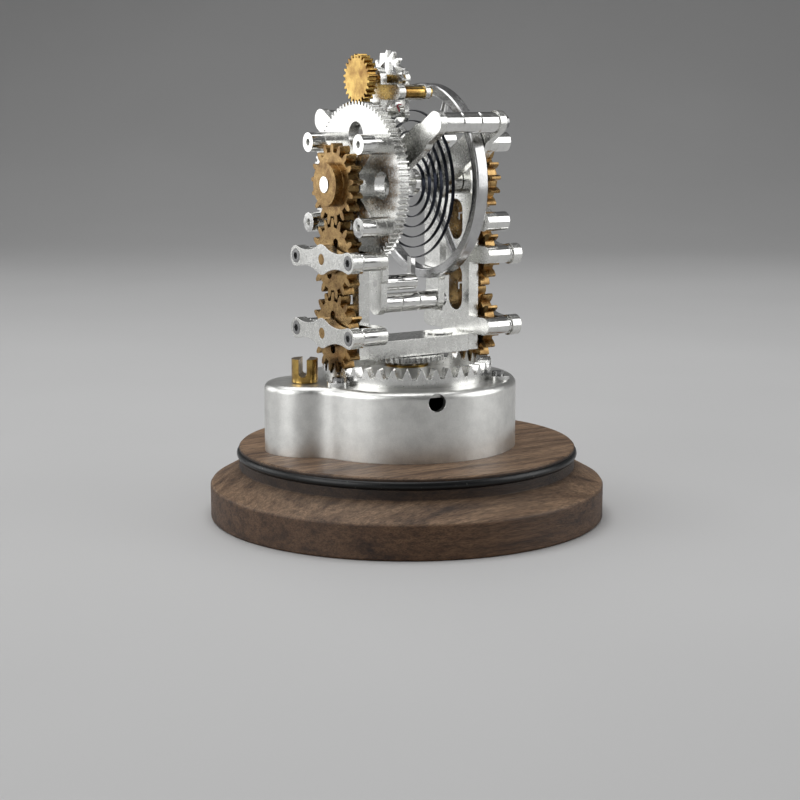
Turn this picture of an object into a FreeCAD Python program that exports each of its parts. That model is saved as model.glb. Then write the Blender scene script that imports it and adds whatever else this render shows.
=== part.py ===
import FreeCAD, Part
import Sketcher
import math
import os

# A desk model of a clock movement: a double-axis escapement stands on a walnut base.
# A spring barrel in the metal casing turns cage one about the vertical axis. Brass gears in
# the two towers of cage one roll on a fixed crown gear, and the left train turns cage two
# about the level axis. Cage two carries the escape wheel, pallet fork, balance and hairspring.
# Frame: +Z up, +X along the cage beam to the right tower, -Y the near side.
# The origin is the centre of the underside of the wooden base. Lengths are millimetres.

doc = FreeCAD.newDocument("escapement_model")
sheet = doc.addObject("Spreadsheet::Sheet", "Sizes")

SIZES = [
    ("base_radius", 75.0, "wooden base, radius of the foot"),
    ("base_foot_top", 12.9, "height where the slope of the base starts"),
    ("base_neck_radius", 64.0, "wooden base, radius of the neck"),
    ("base_neck_bottom", 18.9, "height where the slope of the base ends"),
    ("base_top", 27.0, "height of the wooden top face"),
    ("base_edge", 0.6, "small bevel on the wooden edges"),
    ("o_ring_section", 3.5, "thickness of the rubber ring that seats the glass dome"),
    ("o_ring_height", 24.1, "height of the middle of the rubber ring"),
    ("o_ring_sink", 0.85, "how far the middle of the rubber ring lies inside the neck"),
    ("o_ring_squeeze", 0.05, "how much the stretched rubber ring bites into its groove"),
    ("base_screw_radius", 2.0, "shank of the screws that hold the casing to the wood"),
    ("base_screw_head", 3.5, "head radius of those screws"),
    ("base_screw_head_height", 3.0, "head height of those screws"),
    ("base_screw_sink", 12.0, "depth of the head recess in the underside of the wood"),
    ("base_screw_circle", 26.0, "distance of those screws from the vertical axis"),
    ("casing_radius", 41.4, "outer radius of the round casing"),
    ("casing_height", 26.0, "height of the casing above the wood"),
    ("casing_wall", 3.2, "side wall of the casing"),
    ("casing_top_wall", 3.0, "top wall of the casing"),
    ("casing_rounding", 2.6, "rounding of the outer top edge"),
    ("lobe_radius", 16.0, "outer radius of the winding lobe"),
    ("lobe_distance", 39.6, "distance of the middle of the lobe from the vertical axis"),
    ("lobe_angle", 166.5, "direction of the lobe, degrees from +X"),
    ("lobe_blend", 12.0, "hollow rounding between the lobe and the round casing"),
    ("winder_distance", 41.5, "distance of the winding arbor from the vertical axis"),
    ("winder_angle", 170.7, "direction of the winding arbor and of the barrel, degrees from +X"),
    ("port_radius", 3.25, "round port in the casing side"),
    ("port_height", 49.2, "height of the port"),
    ("port_angle", 251.9, "direction of the port, degrees from +X"),
    ("floor_screw_depth", 6.0, "depth of the floor screw threads in the posts"),
    ("floor_thickness", 4.0, "floor plate inside the casing"),
    ("floor_gap", 0.1, "clearance between the floor plate and the casing wall"),
    ("foot_depth", 3.0, "depth of the blind bearings in the floor plate"),
    ("post_radius", 3.8, "posts inside the casing that take the floor screws"),
    ("post_circle", 34.8, "distance of the posts from the vertical axis"),
    ("boss_radius", 9.0, "bearing boss on top of the casing"),
    ("boss_height", 4.0, "height of the bearing boss"),
    ("bush_rim_inset", 0.8, "how far the rim of the centre bearing stays inside the boss"),
    ("bush_radius", 6.5, "outer radius of the centre bearing"),
    ("bush_rim", 0.8, "thickness of the rim of the centre bearing"),
    ("staff_radius", 4.0, "cage staff in the centre bearing"),
    ("staff_neck_radius", 3.0, "neck of the cage staff in the beam"),
    ("running_gap", 0.04, "radial clearance of every running fit"),
    ("thread_gap", 0.05, "radial clearance round a screw shank"),
    ("end_gap", 0.3, "clearance between pieces that turn past each other"),
    ("crown_teeth", 38.0, "teeth of the fixed crown gear"),
    ("crown_outer", 32.0, "outer radius of the crown gear"),
    ("crown_inner", 27.8, "inner radius of the crown gear"),
    ("crown_pitch_height", 58.35, "height of the pitch plane of the crown gear"),
    ("crown_addendum", 1.55, "crown tooth height above the pitch plane"),
    ("crown_dedendum", 2.05, "crown tooth depth below the pitch plane"),
    ("crown_tooth_half", 0.9, "half thickness of a crown tooth at the pitch plane"),
    ("crown_flank", 21.0, "slope of the crown tooth flanks, degrees from vertical"),
    ("crown_corner", 0.3, "corner cut off the crown tooth tips"),
    ("lug_radius", 4.3, "screw lugs round the crown gear"),
    ("lug_circle", 35.4, "distance of the lug screws from the vertical axis"),
    ("lug_thickness", 1.6, "thickness of the lugs"),
    ("lug_angle", 191.3, "direction of the first lug, degrees from +X"),
    ("lug_screw_head", 2.2, "head radius of the lug screws"),
    ("lug_screw_head_height", 1.5, "head height of the lug screws"),
    ("driver_slot_half", 0.3, "half width of the slots of the lug screws"),
    ("driver_slot_depth", 0.5, "depth of those slots"),
    ("small_screw_radius", 1.25, "shank of the small screws"),
    ("tower_teeth", 17.0, "teeth of each tower gear"),
    ("tower_pitch", 13.55, "pitch radius of each tower gear"),
    ("tower_addendum", 1.3, "tooth height of a tower gear above its pitch circle"),
    ("tower_dedendum", 1.95, "tooth depth of a tower gear below its pitch circle"),
    ("tower_tooth_share", 0.395, "tooth thickness of a tower gear as a share of its pitch"),
    ("gear_inner_face", 28.4, "distance of the inner face of a tower gear from the YZ plane"),
    ("gear_thickness", 4.3, "thickness of a tower gear"),
    ("gear_hole_radius", 1.7, "four lightening holes of a lower or middle tower gear"),
    ("gear_hole_circle", 6.3, "distance of the lightening holes from the gear axis"),
    ("gear_hub_radius", 4.0, "hub of a tower gear"),
    ("upper_hub_wall", 5.0, "wall of the hub of an upper tower gear round its trunnion"),
    ("upper_hub_length", 3.2, "length of the hub of an upper tower gear"),
    ("collar_wall", 1.5, "how far the end collar of the right trunnion stands out"),
    ("collar_thickness", 1.6, "thickness of that collar"),
    ("gear_arbor_radius", 2.0, "brass arbor of a lower or middle tower gear"),
    ("plate_inner", 22.4, "distance of the inner face of a side plate from the YZ plane"),
    ("plate_thickness", 4.4, "thickness of a side plate"),
    ("plate_half_width", 8.8, "half width of the strip of a side plate"),
    ("plate_bottom", 62.0, "height of the lower end of a side plate"),
    ("plate_web", 1.0, "wall left on the inner face of a side plate under the blind holes"),
    ("slot_half_width", 4.4, "half width of the slots in a side plate"),
    ("slot_web", 4.7, "distance from a gear axis to the slot end next to it"),
    ("slot_top_web", 7.0, "distance from the level axis to the top end of the upper slot"),
    ("ear_radius", 3.3, "round ears and pillars"),
    ("ear_reach", 18.5, "distance of the ear axis from the XZ plane"),
    ("bridge_ear", 3.9, "round ends of a bridge"),
    ("bridge_inner", 33.6, "distance of the inner face of a bridge from the YZ plane"),
    ("bridge_thickness", 3.9, "thickness of a bridge"),
    ("bridge_boss", 5.6, "round middle of a bridge"),
    ("bridge_blend", 20.0, "hollow flanks of a bridge"),
    ("pillar_groove", 0.35, "depth of the turned groove of a pillar"),
    ("pillar_groove_reach", 5.8, "distance of that groove from the side plate"),
    ("screw_radius", 1.5, "shank of the cap screws"),
    ("screw_head", 2.6, "head radius of the cap screws"),
    ("screw_head_height", 2.6, "head height of the cap screws"),
    ("screw_proud", 0.15, "how far a sunk cap screw head stands out"),
    ("screw_hex", 1.25, "half width of the hexagon socket of the cap screws"),
    ("screw_hex_depth", 1.4, "depth of the hexagon socket of the cap screws"),
    ("upper_ear_rise", 14.75, "height of the upper ears above and below the level axis"),
    ("upper_ear_reach", 17.6, "distance of the upper ears from the XZ plane"),
    ("upper_ear_radius", 3.6, "round upper ears and the pillars on them"),
    ("upper_pillar_length", 5.6, "length of the pillars on the upper ears"),
    ("upper_arm_half", 2.7, "half width of the arms that carry the upper ears"),
    ("bearing_boss", 10.0, "round end of a side plate round the level axis"),
    ("beam_half_width", 8.85, "half width of the bottom beam"),
    ("beam_bottom", 61.7, "height of the underside of the beam"),
    ("beam_height", 6.4, "height of the beam"),
    ("beam_pad_radius", 5.6, "round pad on the beam"),
    ("beam_pad_height", 0.5, "height of the pad"),
    ("beam_pad_place", 14.4, "X of the middle of the pad"),
    ("beam_pin_radius", 0.7, "two small pin holes in the pad"),
    ("beam_pin_spread", 4.4, "distance of the pin holes from the XZ plane"),
    ("beam_pin_depth", 2.5, "depth of the pin holes below the top of the beam"),
    ("beam_screw_spread", 4.9, "distance of the beam screws from the XZ plane"),
    ("beam_screw_reach", 7.0, "depth of the beam screw threads"),
    ("beam_screw_sink", 0.1, "how far the beam screw heads lie inside the plate"),
    ("drive_teeth", 36.0, "teeth of the cage drive wheel"),
    ("drive_module", 0.75, "module of the cage drive wheel and the transfer wheel"),
    ("drive_thickness", 2.0, "thickness of the drive wheel teeth"),
    ("drive_top", 61.4, "height of the top of the drive wheel teeth"),
    ("transfer_teeth", 16.0, "teeth of the transfer wheel"),
    ("barrel_module", 1.0, "module of the barrel teeth and of the winding teeth"),
    ("barrel_teeth", 44.0, "teeth of the barrel"),
    ("pinion_teeth", 10.0, "teeth of the transfer pinion"),
    ("barrel_distance", 15.0, "distance of the barrel axis from the vertical axis"),
    ("barrel_radius", 20.2, "outer radius of the barrel drum"),
    ("barrel_wall", 1.4, "side wall of the barrel"),
    ("barrel_bottom", 33.0, "height of the underside of the barrel"),
    ("barrel_height", 13.0, "height of the barrel with its cover"),
    ("barrel_rim", 3.0, "thickness of the toothed rim of the barrel"),
    ("cover_thickness", 1.2, "thickness of the barrel cover"),
    ("barrel_arbor_radius", 2.5, "barrel arbor"),
    ("barrel_core_radius", 4.0, "core of the barrel arbor inside the mainspring"),
    ("mainspring_turns", 8.0, "turns of the mainspring"),
    ("mainspring_thickness", 0.7, "thickness of the mainspring strip"),
    ("ratchet_teeth", 40.0, "teeth of the ratchet wheel"),
    ("ratchet_thickness", 2.0, "thickness of the ratchet wheel"),
    ("ratchet_gap", 0.8, "gap between the barrel cover and the ratchet wheel"),
    ("click_reach", 25.8, "distance of the click screw from the barrel axis"),
    ("click_angle", 250.0, "direction of the click screw from the barrel axis, degrees from +X"),
    ("click_tip_angle", 228.0, "direction of the click beak from the barrel axis, degrees from +X"),
    ("click_radius", 2.6, "round end of the click round its screw"),
    ("click_beak", 1.2, "round beak of the click"),
    ("click_screw_head", 2.2, "head radius of the click screw"),
    ("click_screw_head_height", 1.0, "head height of the click screw"),
    ("spring_stud_reach", 33.7, "distance of the click spring stud from the barrel axis"),
    ("spring_stud_angle", 266.1, "direction of the click spring stud, degrees from +X"),
    ("spring_strip_half", 0.5, "half thickness of the click spring"),
    ("winder_teeth", 13.0, "teeth of the winding pinion"),
    ("winder_radius", 4.9, "brass winding post above the casing"),
    ("winder_height", 9.0, "height of the brass winding post"),
    ("winder_arbor_radius", 3.0, "winding arbor in the casing"),
    ("winder_slot_half", 1.5, "half width of the slot of the winding post"),
    ("winder_slot_depth", 6.5, "depth of the slot of the winding post"),
    ("winder_slot_angle", 50.5, "direction of the slot, degrees from +X"),
    ("fixed_teeth", 84.0, "teeth of the fixed side gear"),
    ("fixed_module", 0.7, "module of the fixed side gear and the escape pinion"),
    ("fixed_thickness", 4.3, "thickness of the fixed side gear"),
    ("fixed_bore", 7.0, "bore of the fixed side gear"),
    ("fixed_window_radius", 5.0, "round windows of the fixed side gear"),
    ("fixed_window_circle", 17.5, "distance of those windows from the level axis"),
    ("escape_pinion_teeth", 24.0, "teeth of the escape pinion"),
    ("cage_two_left", -14.3, "X of the outer face of the left arm plate of cage two"),
    ("cage_two_right", 11.5, "X of the inner face of the right arm plate of cage two"),
    ("arm_thickness", 2.8, "thickness of the arm plates of cage two"),
    ("arm_reach", 44.9, "distance of the cage two pillars from the level axis"),
    ("arm_end_radius", 4.2, "round ends of the arm plates"),
    ("arm_half_width", 5.2, "half width of the wide part of the arms"),
    ("arm_wide_reach", 34.0, "distance from the level axis to the end of the wide part of the arms"),
    ("arm_hub_radius", 8.0, "hub of the arm plates"),
    ("cage_two_pillar", 3.7, "pillars of cage two"),
    ("pillar_spigot", 1.8, "length of the spigot of a pillar in the left arm plate"),
    ("cage_screw_reach", 6.0, "depth of the cage two screws in their pillars"),
    ("cage_screw_sink", 0.4, "depth of the shallow recess for the cage two screw heads"),
    ("trunnion_radius", 3.0, "trunnions of cage two"),
    ("trunnion_depth", 1.0, "depth of the trunnion seats in the arm plates"),
    ("trunnion_shoulder", 5.0, "shoulder of a trunnion between arm plate and side plate"),
    ("balance_outer", 36.4, "outer radius of the balance wheel"),
    ("balance_rim", 3.8, "radial thickness of the balance rim"),
    ("balance_width", 4.8, "width of the balance rim along its axis"),
    ("balance_middle", 8.8, "X of the middle of the balance rim"),
    ("balance_spoke_half", 1.3, "half width of the balance spokes"),
    ("balance_spoke_angle", 233.0, "direction of the first spoke in the YZ plane, degrees from +Y"),
    ("balance_spoke_thickness", 2.2, "thickness of the balance spokes along the axis"),
    ("balance_hub", 4.2, "hub radius of the balance wheel"),
    ("balance_staff_radius", 1.5, "balance staff"),
    ("pivot_radius", 0.7, "pivots of the small arbors"),
    ("pivot_depth", 1.0, "how far a small pivot reaches into its bearing"),
    ("jewel_radius", 2.2, "ruby bearing stones of the balance staff"),
    ("jewel_thickness", 1.5, "thickness of those stones"),
    ("collet_radius", 5.0, "collet that holds the inner end of the hairspring"),
    ("hairspring_middle", 2.0, "X of the middle of the hairspring"),
    ("hairspring_width", 1.4, "width of the hairspring strip along X"),
    ("hairspring_thickness", 0.35, "thickness of the hairspring strip"),
    ("hairspring_turns", 6.5, "turns of the hairspring"),
    ("hairspring_pitch", 3.8, "distance from one hairspring turn to the next"),
    ("stud_radius", 3.0, "stud post that holds the outer end of the hairspring"),
    ("stud_reach", 37.4, "distance of the stud post from the level axis"),
    ("stud_block", 2.4, "width of the clamping block of the stud post"),
    ("escape_tip", 10.5, "tip radius of the escape wheel"),
    ("escape_teeth", 15.0, "teeth of the escape wheel"),
    ("escape_left", -8.7, "X of the left face of the escape wheel, pallet fork and roller"),
    ("escape_thickness", 1.5, "thickness of the escape wheel and pallet fork"),
    ("escape_arbor_radius", 1.6, "arbor of the escape wheel"),
    ("pallet_lift", 0.95, "gap between the pallet stones and the escape wheel tips"),
    ("pallet_angle", 35.0, "angle of the pallet stones off the line of centres, degrees"),
    ("pallet_stone_length", 3.0, "length of a pallet stone"),
    ("pallet_stone_half", 0.6, "half width of a pallet stone"),
    ("pallet_hub", 2.0, "hub of the pallet fork"),
    ("pallet_arm_start", 1.5, "half width of a pallet arm at the hub"),
    ("pallet_arm_end", 1.5, "round end of a pallet arm"),
    ("pallet_arm_reach", 7.4, "distance of the arm ends from the pallet axis"),
    ("pallet_arm_lift", 1.9, "height of the arm ends above the pallet axis"),
    ("fork_half", 2.2, "half width of the fork"),
    ("fork_length", 2.4, "length of the fork"),
    ("fork_slot_half", 0.8, "half width of the fork slot"),
    ("fork_slot_depth", 1.5, "depth of the fork slot"),
    ("fork_gap", 0.45, "clearance between the fork and the path of the impulse pin"),
    ("pallet_arbor_radius", 1.2, "arbor of the pallet fork"),
    ("lever_half_width", 1.0, "half width of the pallet lever"),
    ("roller_radius", 4.4, "impulse roller on the balance staff"),
    ("roller_thickness", 1.2, "thickness of the impulse roller"),
    ("roller_gap", 0.7, "gap between the escape wheel plane and the roller"),
    ("impulse_circle", 3.2, "distance of the impulse pin from the balance axis"),
    ("impulse_pin", 0.5, "impulse pin"),
    ("cock_left", -2.7, "X of the left face of the escapement cock"),
    ("cock_thickness", 2.0, "thickness of the escapement cock"),
    ("cock_post_spread", 14.2, "distance of the cock posts from the XZ plane"),
    ("cock_post_reach", 33.0, "height of the cock posts above the level axis"),
    ("cock_post_radius", 2.2, "cock posts"),
    ("cross_bar_half", 2.8, "half width of the cross bars that carry the cock posts"),
    ("cock_top_radius", 3.4, "round end of the cock at the escape arbor"),
    ("cock_low_radius", 3.0, "round end of the cock at the pallet arbor"),
    ("cock_web_half", 2.6, "half width of the upright web of the cock"),
    ("cock_post_head", 1.0, "head height of the cock posts"),
]

for row, (alias, number, meaning) in enumerate(SIZES, start=1):
    sheet.set("A%d" % row, meaning)
    sheet.set("B%d" % row, str(number))
    sheet.setAlias("B%d" % row, alias)
doc.recompute()


def text_of(value):
    return value.text if isinstance(value, Size) else repr(float(value))


class Size:
    """A number that keeps the sheet expression it comes from."""

    def __init__(self, number, text):
        self.number = float(number)
        self.text = text

    def __float__(self):
        return self.number

    def __add__(self, other):
        return Size(self.number + float(other), "(%s + %s)" % (self.text, text_of(other)))

    def __radd__(self, other):
        return Size(float(other) + self.number, "(%s + %s)" % (text_of(other), self.text))

    def __sub__(self, other):
        return Size(self.number - float(other), "(%s - %s)" % (self.text, text_of(other)))

    def __rsub__(self, other):
        return Size(float(other) - self.number, "(%s - %s)" % (text_of(other), self.text))

    def __mul__(self, other):
        return Size(self.number * float(other), "(%s * %s)" % (self.text, text_of(other)))

    def __rmul__(self, other):
        return Size(float(other) * self.number, "(%s * %s)" % (text_of(other), self.text))

    def __truediv__(self, other):
        return Size(self.number / float(other), "(%s / %s)" % (self.text, text_of(other)))

    def __neg__(self):
        return Size(-self.number, "(-(%s))" % self.text)


def cosine(angle):
    """Cosine of an angle in degrees, kept as an expression when the angle is a Size."""
    number = math.cos(math.radians(float(angle)))
    return Size(number, "cos(%s * 1 deg)" % angle.text) if isinstance(angle, Size) else number


def sine(angle):
    number = math.sin(math.radians(float(angle)))
    return Size(number, "sin(%s * 1 deg)" % angle.text) if isinstance(angle, Size) else number


class Sizes:
    """The sheet's values by name."""


s = Sizes()
for alias, number, meaning in SIZES:
    setattr(s, alias, Size(sheet.get(alias), "Sizes." + alias))

# Directions of a piece's own z axis. Toward the towers a piece's own x lies along Y and its
# own y along Z, so tower pieces are drawn as they are seen from the end of the level axis.
UP = FreeCAD.Rotation()
RIGHT = FreeCAD.Rotation(FreeCAD.Vector(1, 1, 1), 120)
LEFT = FreeCAD.Rotation(FreeCAD.Vector(0, 0, 1), 180).multiply(RIGHT)
ALONG_X = FreeCAD.Rotation(FreeCAD.Vector(0, 1, 0), 90)
ORIGIN = FreeCAD.Vector(0, 0, 0)
Z_AXIS = FreeCAD.Vector(0, 0, 1)


def bind(item, prop, value):
    """Set one property, bound to the sheet when the value comes from it."""
    setattr(item, prop, float(value))
    if isinstance(value, Size):
        item.setExpression(prop, value.text)


def place(item, rotation=UP, x=0, y=0, z=0):
    item.Placement = FreeCAD.Placement(FreeCAD.Vector(float(x), float(y), float(z)), rotation)
    for axis, distance in (("x", x), ("y", y), ("z", z)):
        if isinstance(distance, Size):
            item.setExpression("Placement.Base." + axis, distance.text)
    return item


def disc(name, radius, height, x=0, y=0, z=0, rotation=UP):
    item = doc.addObject("Part::Cylinder", name)
    bind(item, "Radius", radius)
    bind(item, "Height", height)
    return place(item, rotation, x, y, z)


def block(name, length, width, height, x=0, y=0, z=0, rotation=UP):
    """A box whose lowest corner is at x, y, z before it is turned."""
    item = doc.addObject("Part::Box", name)
    bind(item, "Length", length)
    bind(item, "Width", width)
    bind(item, "Height", height)
    return place(item, rotation, x, y, z)


def fuse(name, items):
    item = doc.addObject("Part::MultiFuse", name)
    item.Shapes = items
    return item


def cut(name, base, tools):
    item = doc.addObject("Part::Cut", name)
    item.Base = base
    item.Tool = tools[0] if len(tools) == 1 else fuse(name + "_tools", tools)
    return item


def group(name, items):
    """Separate solids that share one node."""
    item = doc.addObject("Part::Compound", name)
    item.Links = items
    return item


def copies(name, pattern, places):
    """A group of linked copies of one piece, each with its own place."""
    links = []
    for number, (rotation, x, y, z) in enumerate(places, start=1):
        link = doc.addObject("App::Link", "%s_%d" % (name, number))
        link.LinkedObject = pattern
        links.append(place(link, rotation, x, y, z))
    return group(name, links)


def flat(name, outlines, thickness, rotation=UP, x=0, y=0, z=0):
    """A plate from closed outlines, the outer one first, raised by its thickness."""
    outline = doc.addObject("Part::Feature", name + "_outline")
    outline.Shape = Part.makeFace(outlines, "Part::FaceMakerBullseye")
    item = doc.addObject("Part::Extrusion", name)
    item.Base = outline
    item.DirMode = "Custom"
    item.Dir = Z_AXIS
    bind(item, "LengthFwd", thickness)
    return place(item, rotation, x, y, z)


def turned(name, corners, rotation=UP, x=0, y=0, z=0):
    """A lathe piece: a closed half section of (radius, height) corners turned about z."""
    body = doc.addObject("PartDesign::Body", name)
    sketch = body.newObject("Sketcher::SketchObject", name + "_section")
    plane = [item for item in body.Origin.OriginFeatures if item.Role == "XZ_Plane"][0]
    sketch.AttachmentSupport = [(plane, "")]
    sketch.MapMode = "FlatFace"
    points = [FreeCAD.Vector(float(radius), float(height), 0) for radius, height in corners]
    count = len(points)
    lines = [Part.LineSegment(points[i], points[(i + 1) % count]) for i in range(count)]
    sketch.addGeometry(lines, False)
    constraints = [Sketcher.Constraint("Coincident", i, 2, (i + 1) % count, 1) for i in range(count)]
    links = []
    for i, corner in enumerate(corners):
        for kind, axis, distance in (("DistanceX", -2, corner[0]), ("DistanceY", -1, corner[1])):
            if float(distance) == 0:
                constraints.append(Sketcher.Constraint("PointOnObject", i, 1, axis))
                continue
            if isinstance(distance, Size):
                links.append((len(constraints), distance.text))
            constraints.append(Sketcher.Constraint(kind, -1, 1, i, 1, float(distance)))
    sketch.addConstraint(constraints)
    for index, text in links:
        sketch.setExpression("Constraints[%d]" % index, text)
    turn = body.newObject("PartDesign::Revolution", name + "_turn")
    turn.Profile = sketch
    turn.ReferenceAxis = (sketch, ["V_Axis"])
    turn.Angle = 360
    return place(body, rotation, x, y, z)


def stack(*steps):
    """Half section of a turned piece from (radius, bottom, top) steps, lowest first."""
    corners = [(0, steps[0][1])]
    for radius, bottom, top in steps:
        corners += [(radius, bottom), (radius, top)]
    return corners + [(0, steps[-1][2])]


def polar(radius, degrees, x=0.0, y=0.0):
    turn = math.radians(degrees)
    return FreeCAD.Vector(x + radius * math.cos(turn), y + radius * math.sin(turn), 0)


def arc(start, middle, end):
    return Part.Arc(start, middle, end).toShape()


def line(start, end):
    return Part.makeLine(start, end)


def circle(radius, x=0.0, y=0.0):
    return Part.Wire(Part.makeCircle(float(radius), FreeCAD.Vector(float(x), float(y), 0)))


def closed(edges):
    return Part.Wire(Part.__sortEdges__(edges))


def joined_discs(discs, blend, turn=0.0):
    """Outline of round discs in a row, (place on x, radius), joined by hollow arcs.

    Each hollow arc touches both discs: its centre lies a disc radius plus the blend radius
    from each disc's centre.
    """
    upper = []
    start = FreeCAD.Vector(discs[0][0] - discs[0][1], 0, 0)
    for (x1, r1), (x2, r2) in zip(discs, discs[1:]):
        reach1 = r1 + blend
        reach2 = r2 + blend
        xb = (reach1 ** 2 - reach2 ** 2 + (x2 - x1) ** 2) / (2 * (x2 - x1))
        centre = FreeCAD.Vector(x1 + xb, math.sqrt(reach1 ** 2 - xb ** 2), 0)
        first = FreeCAD.Vector(x1, 0, 0)
        second = FreeCAD.Vector(x2, 0, 0)
        leave = first + (centre - first) * (r1 / reach1)
        meet = second + (centre - second) * (r2 / reach2)
        outward = (start - first).normalize() + (leave - first).normalize()
        upper.append((start, first + outward.normalize() * r1, leave))
        inward = (leave - centre).normalize() + (meet - centre).normalize()
        upper.append((leave, centre + inward.normalize() * blend, meet))
        start = meet
    x_last, r_last = discs[-1]
    last = FreeCAD.Vector(x_last, 0, 0)
    end = FreeCAD.Vector(x_last + r_last, 0, 0)
    outward = (start - last).normalize() + (end - last).normalize()
    upper.append((start, last + outward.normalize() * r_last, end))
    edges = []
    for points in upper:
        edges.append(arc(*points))
        edges.append(arc(*[FreeCAD.Vector(p.x, -p.y, 0) for p in points]))
    wire = closed(edges)
    wire.rotate(ORIGIN, Z_AXIS, turn)
    return wire


PRESSURE = math.radians(20)


def involute(radius, base):
    """Angle by which an involute has turned at a radius, in radians."""
    slope = math.acos(min(1.0, base / radius))
    return math.tan(slope) - slope


def toothed(teeth, pitch, addendum, dedendum, share, first=90.0):
    """Outline of a spur gear: radial feet, involute flanks drawn as arcs, round tips.

    share is the tooth thickness as a part of the pitch, first the direction of one tooth.
    """
    base = pitch * math.cos(PRESSURE)
    root = pitch - dedendum
    tip = pitch + addendum
    foot = max(base, root)
    half = math.pi * share / teeth + involute(pitch, base)

    def flank(radius):
        return math.degrees(half - involute(max(radius, base), base))

    step = 360.0 / teeth
    edges = []
    for number in range(teeth):
        middle = first + number * step
        for side in (-1, 1):
            foot_point = polar(foot, middle + side * flank(foot))
            tip_point = polar(tip, middle + side * flank(tip))
            centre_radius = (foot + tip) / 2
            edges.append(arc(foot_point, polar(centre_radius, middle + side * flank(centre_radius)), tip_point))
            if root < base:
                edges.append(line(polar(root, middle + side * flank(foot)), foot_point))
        edges.append(arc(polar(tip, middle - flank(tip)), polar(tip, middle), polar(tip, middle + flank(tip))))
        edges.append(arc(polar(root, middle + flank(foot)), polar(root, middle + step / 2),
                         polar(root, middle + step - flank(foot))))
    return closed(edges)


def turn_point(inner, pitch, angle):
    """Centre line point of a spiral of half circles after a turned angle in degrees."""
    number = int(angle // 180.0)
    centre = pitch / 2 if number % 2 else 0.0
    return polar(inner + number * pitch / 2, 90.0 + angle, 0, centre)


def measured_gap(name, inner, pitch, half_turns, thickness):
    """Print the least gap between neighbouring turns, measured on points every 5 degrees."""
    angles = [5.0 * number for number in range(36 * half_turns)]
    points = [turn_point(inner, pitch, angle) for angle in angles]
    gap = min((points[i] - points[j]).Length for i in range(len(points)) for j in range(i + 54, len(points)))
    print(name, "least gap between turns", round(gap - thickness, 3), "mm")


def spiral(inner, pitch, half_turns, thickness):
    """Outline of a flat strip wound from half circles, from the top of its smallest turn.

    The half circles grow by half a pitch and their centres take turns at 0 and pitch / 2.
    """
    edges = []
    for offset in (-thickness / 2, thickness / 2):
        for number in range(half_turns):
            radius = inner + number * pitch / 2 + offset
            centre = pitch / 2 if number % 2 else 0.0
            start, end = (270.0, 450.0) if number % 2 else (90.0, 270.0)
            edges.append(arc(polar(radius, start, 0, centre), polar(radius, (start + end) / 2, 0, centre),
                             polar(radius, end, 0, centre)))
    for number in (0, half_turns):
        radius = inner + number * pitch / 2
        height = radius if number == 0 or number % 2 == 0 else -(radius - pitch / 2)
        edges.append(line(FreeCAD.Vector(0, height - thickness / 2, 0),
                          FreeCAD.Vector(0, height + thickness / 2, 0)))
    return closed(edges)

# Heights and places that follow from the driving sizes
axis_one = s.crown_pitch_height + s.tower_pitch
axis_two = axis_one + 2 * s.tower_pitch
axis_three = axis_two + 2 * s.tower_pitch
casing_top = s.base_top + s.casing_height
ceiling = casing_top - s.casing_top_wall
floor_top = s.base_top + s.floor_thickness
boss_top = casing_top + s.boss_height
plate_outer = s.plate_inner + s.plate_thickness
bridge_outer = s.bridge_inner + s.bridge_thickness
gear_outer = s.gear_inner_face + s.gear_thickness
beam_top = s.beam_bottom + s.beam_height
clearance_hole = s.screw_radius + s.thread_gap

winder_x = s.winder_distance * cosine(s.winder_angle)
winder_y = s.winder_distance * sine(s.winder_angle)
barrel_x = s.barrel_distance * cosine(s.winder_angle)
barrel_y = s.barrel_distance * sine(s.winder_angle)
drive_pitch = s.drive_module * s.drive_teeth / 2
transfer_pitch = s.drive_module * s.transfer_teeth / 2
barrel_pitch = s.barrel_module * s.barrel_teeth / 2
pinion_pitch = s.barrel_module * s.pinion_teeth / 2
ratchet_pitch = s.barrel_module * s.ratchet_teeth / 2
winder_pitch = s.barrel_module * s.winder_teeth / 2
transfer_distance = drive_pitch + transfer_pitch
# The transfer arbor is in mesh with both the barrel and the drive wheel: the two centre
# distances and the barrel's place give its direction by the law of cosines.
mesh_distance = barrel_pitch + pinion_pitch
transfer_swing = math.degrees(math.acos(
    (float(s.barrel_distance) ** 2 + float(transfer_distance) ** 2 - float(mesh_distance) ** 2)
    / (2 * float(s.barrel_distance) * float(transfer_distance))))
transfer_angle = float(s.winder_angle) - transfer_swing
transfer_x = transfer_distance * cosine(transfer_angle)
transfer_y = transfer_distance * sine(transfer_angle)
ratchet_bottom = s.barrel_bottom + s.barrel_height + s.ratchet_gap
drive_bottom = s.drive_top - s.drive_thickness

TOOTH_HIGH = 0.8
TOOTH_DEEP = 1.15
FINE_SHARE = 0.43


def meshed(angle, first, teeth, other_teeth):
    """Direction of a tooth of a second gear in mesh with a first gear.

    angle is the direction from the first gear's centre to the second's, first the direction
    of a tooth of the first gear. The second gear gets a gap where the first has a tooth.
    """
    step = 360.0 / teeth
    share = ((angle - first) % step) / step
    other_step = 360.0 / other_teeth
    return angle + 180.0 + share * other_step + other_step / 2


def fine_gear(name, teeth, module, first, thickness, bore, rotation=UP, x=0, y=0, z=0):
    """A fine-toothed wheel; its bore is left out when it is 0."""
    outlines = [toothed(round(float(teeth)), float(module * teeth) / 2, TOOTH_HIGH * float(module),
                        TOOTH_DEEP * float(module), FINE_SHARE, first)]
    if float(bore):
        outlines.append(circle(bore))
    return flat(name, outlines, thickness, rotation, x, y, z)


def ring(name, outer, inner, height, x=0, y=0, z=0, rotation=UP):
    """A disc with a bore, standing at x, y, z."""
    item = cut(name, disc(name + "_disc", outer, height), [disc(name + "_bore", inner, height)])
    return place(item, rotation, x, y, z)


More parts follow.
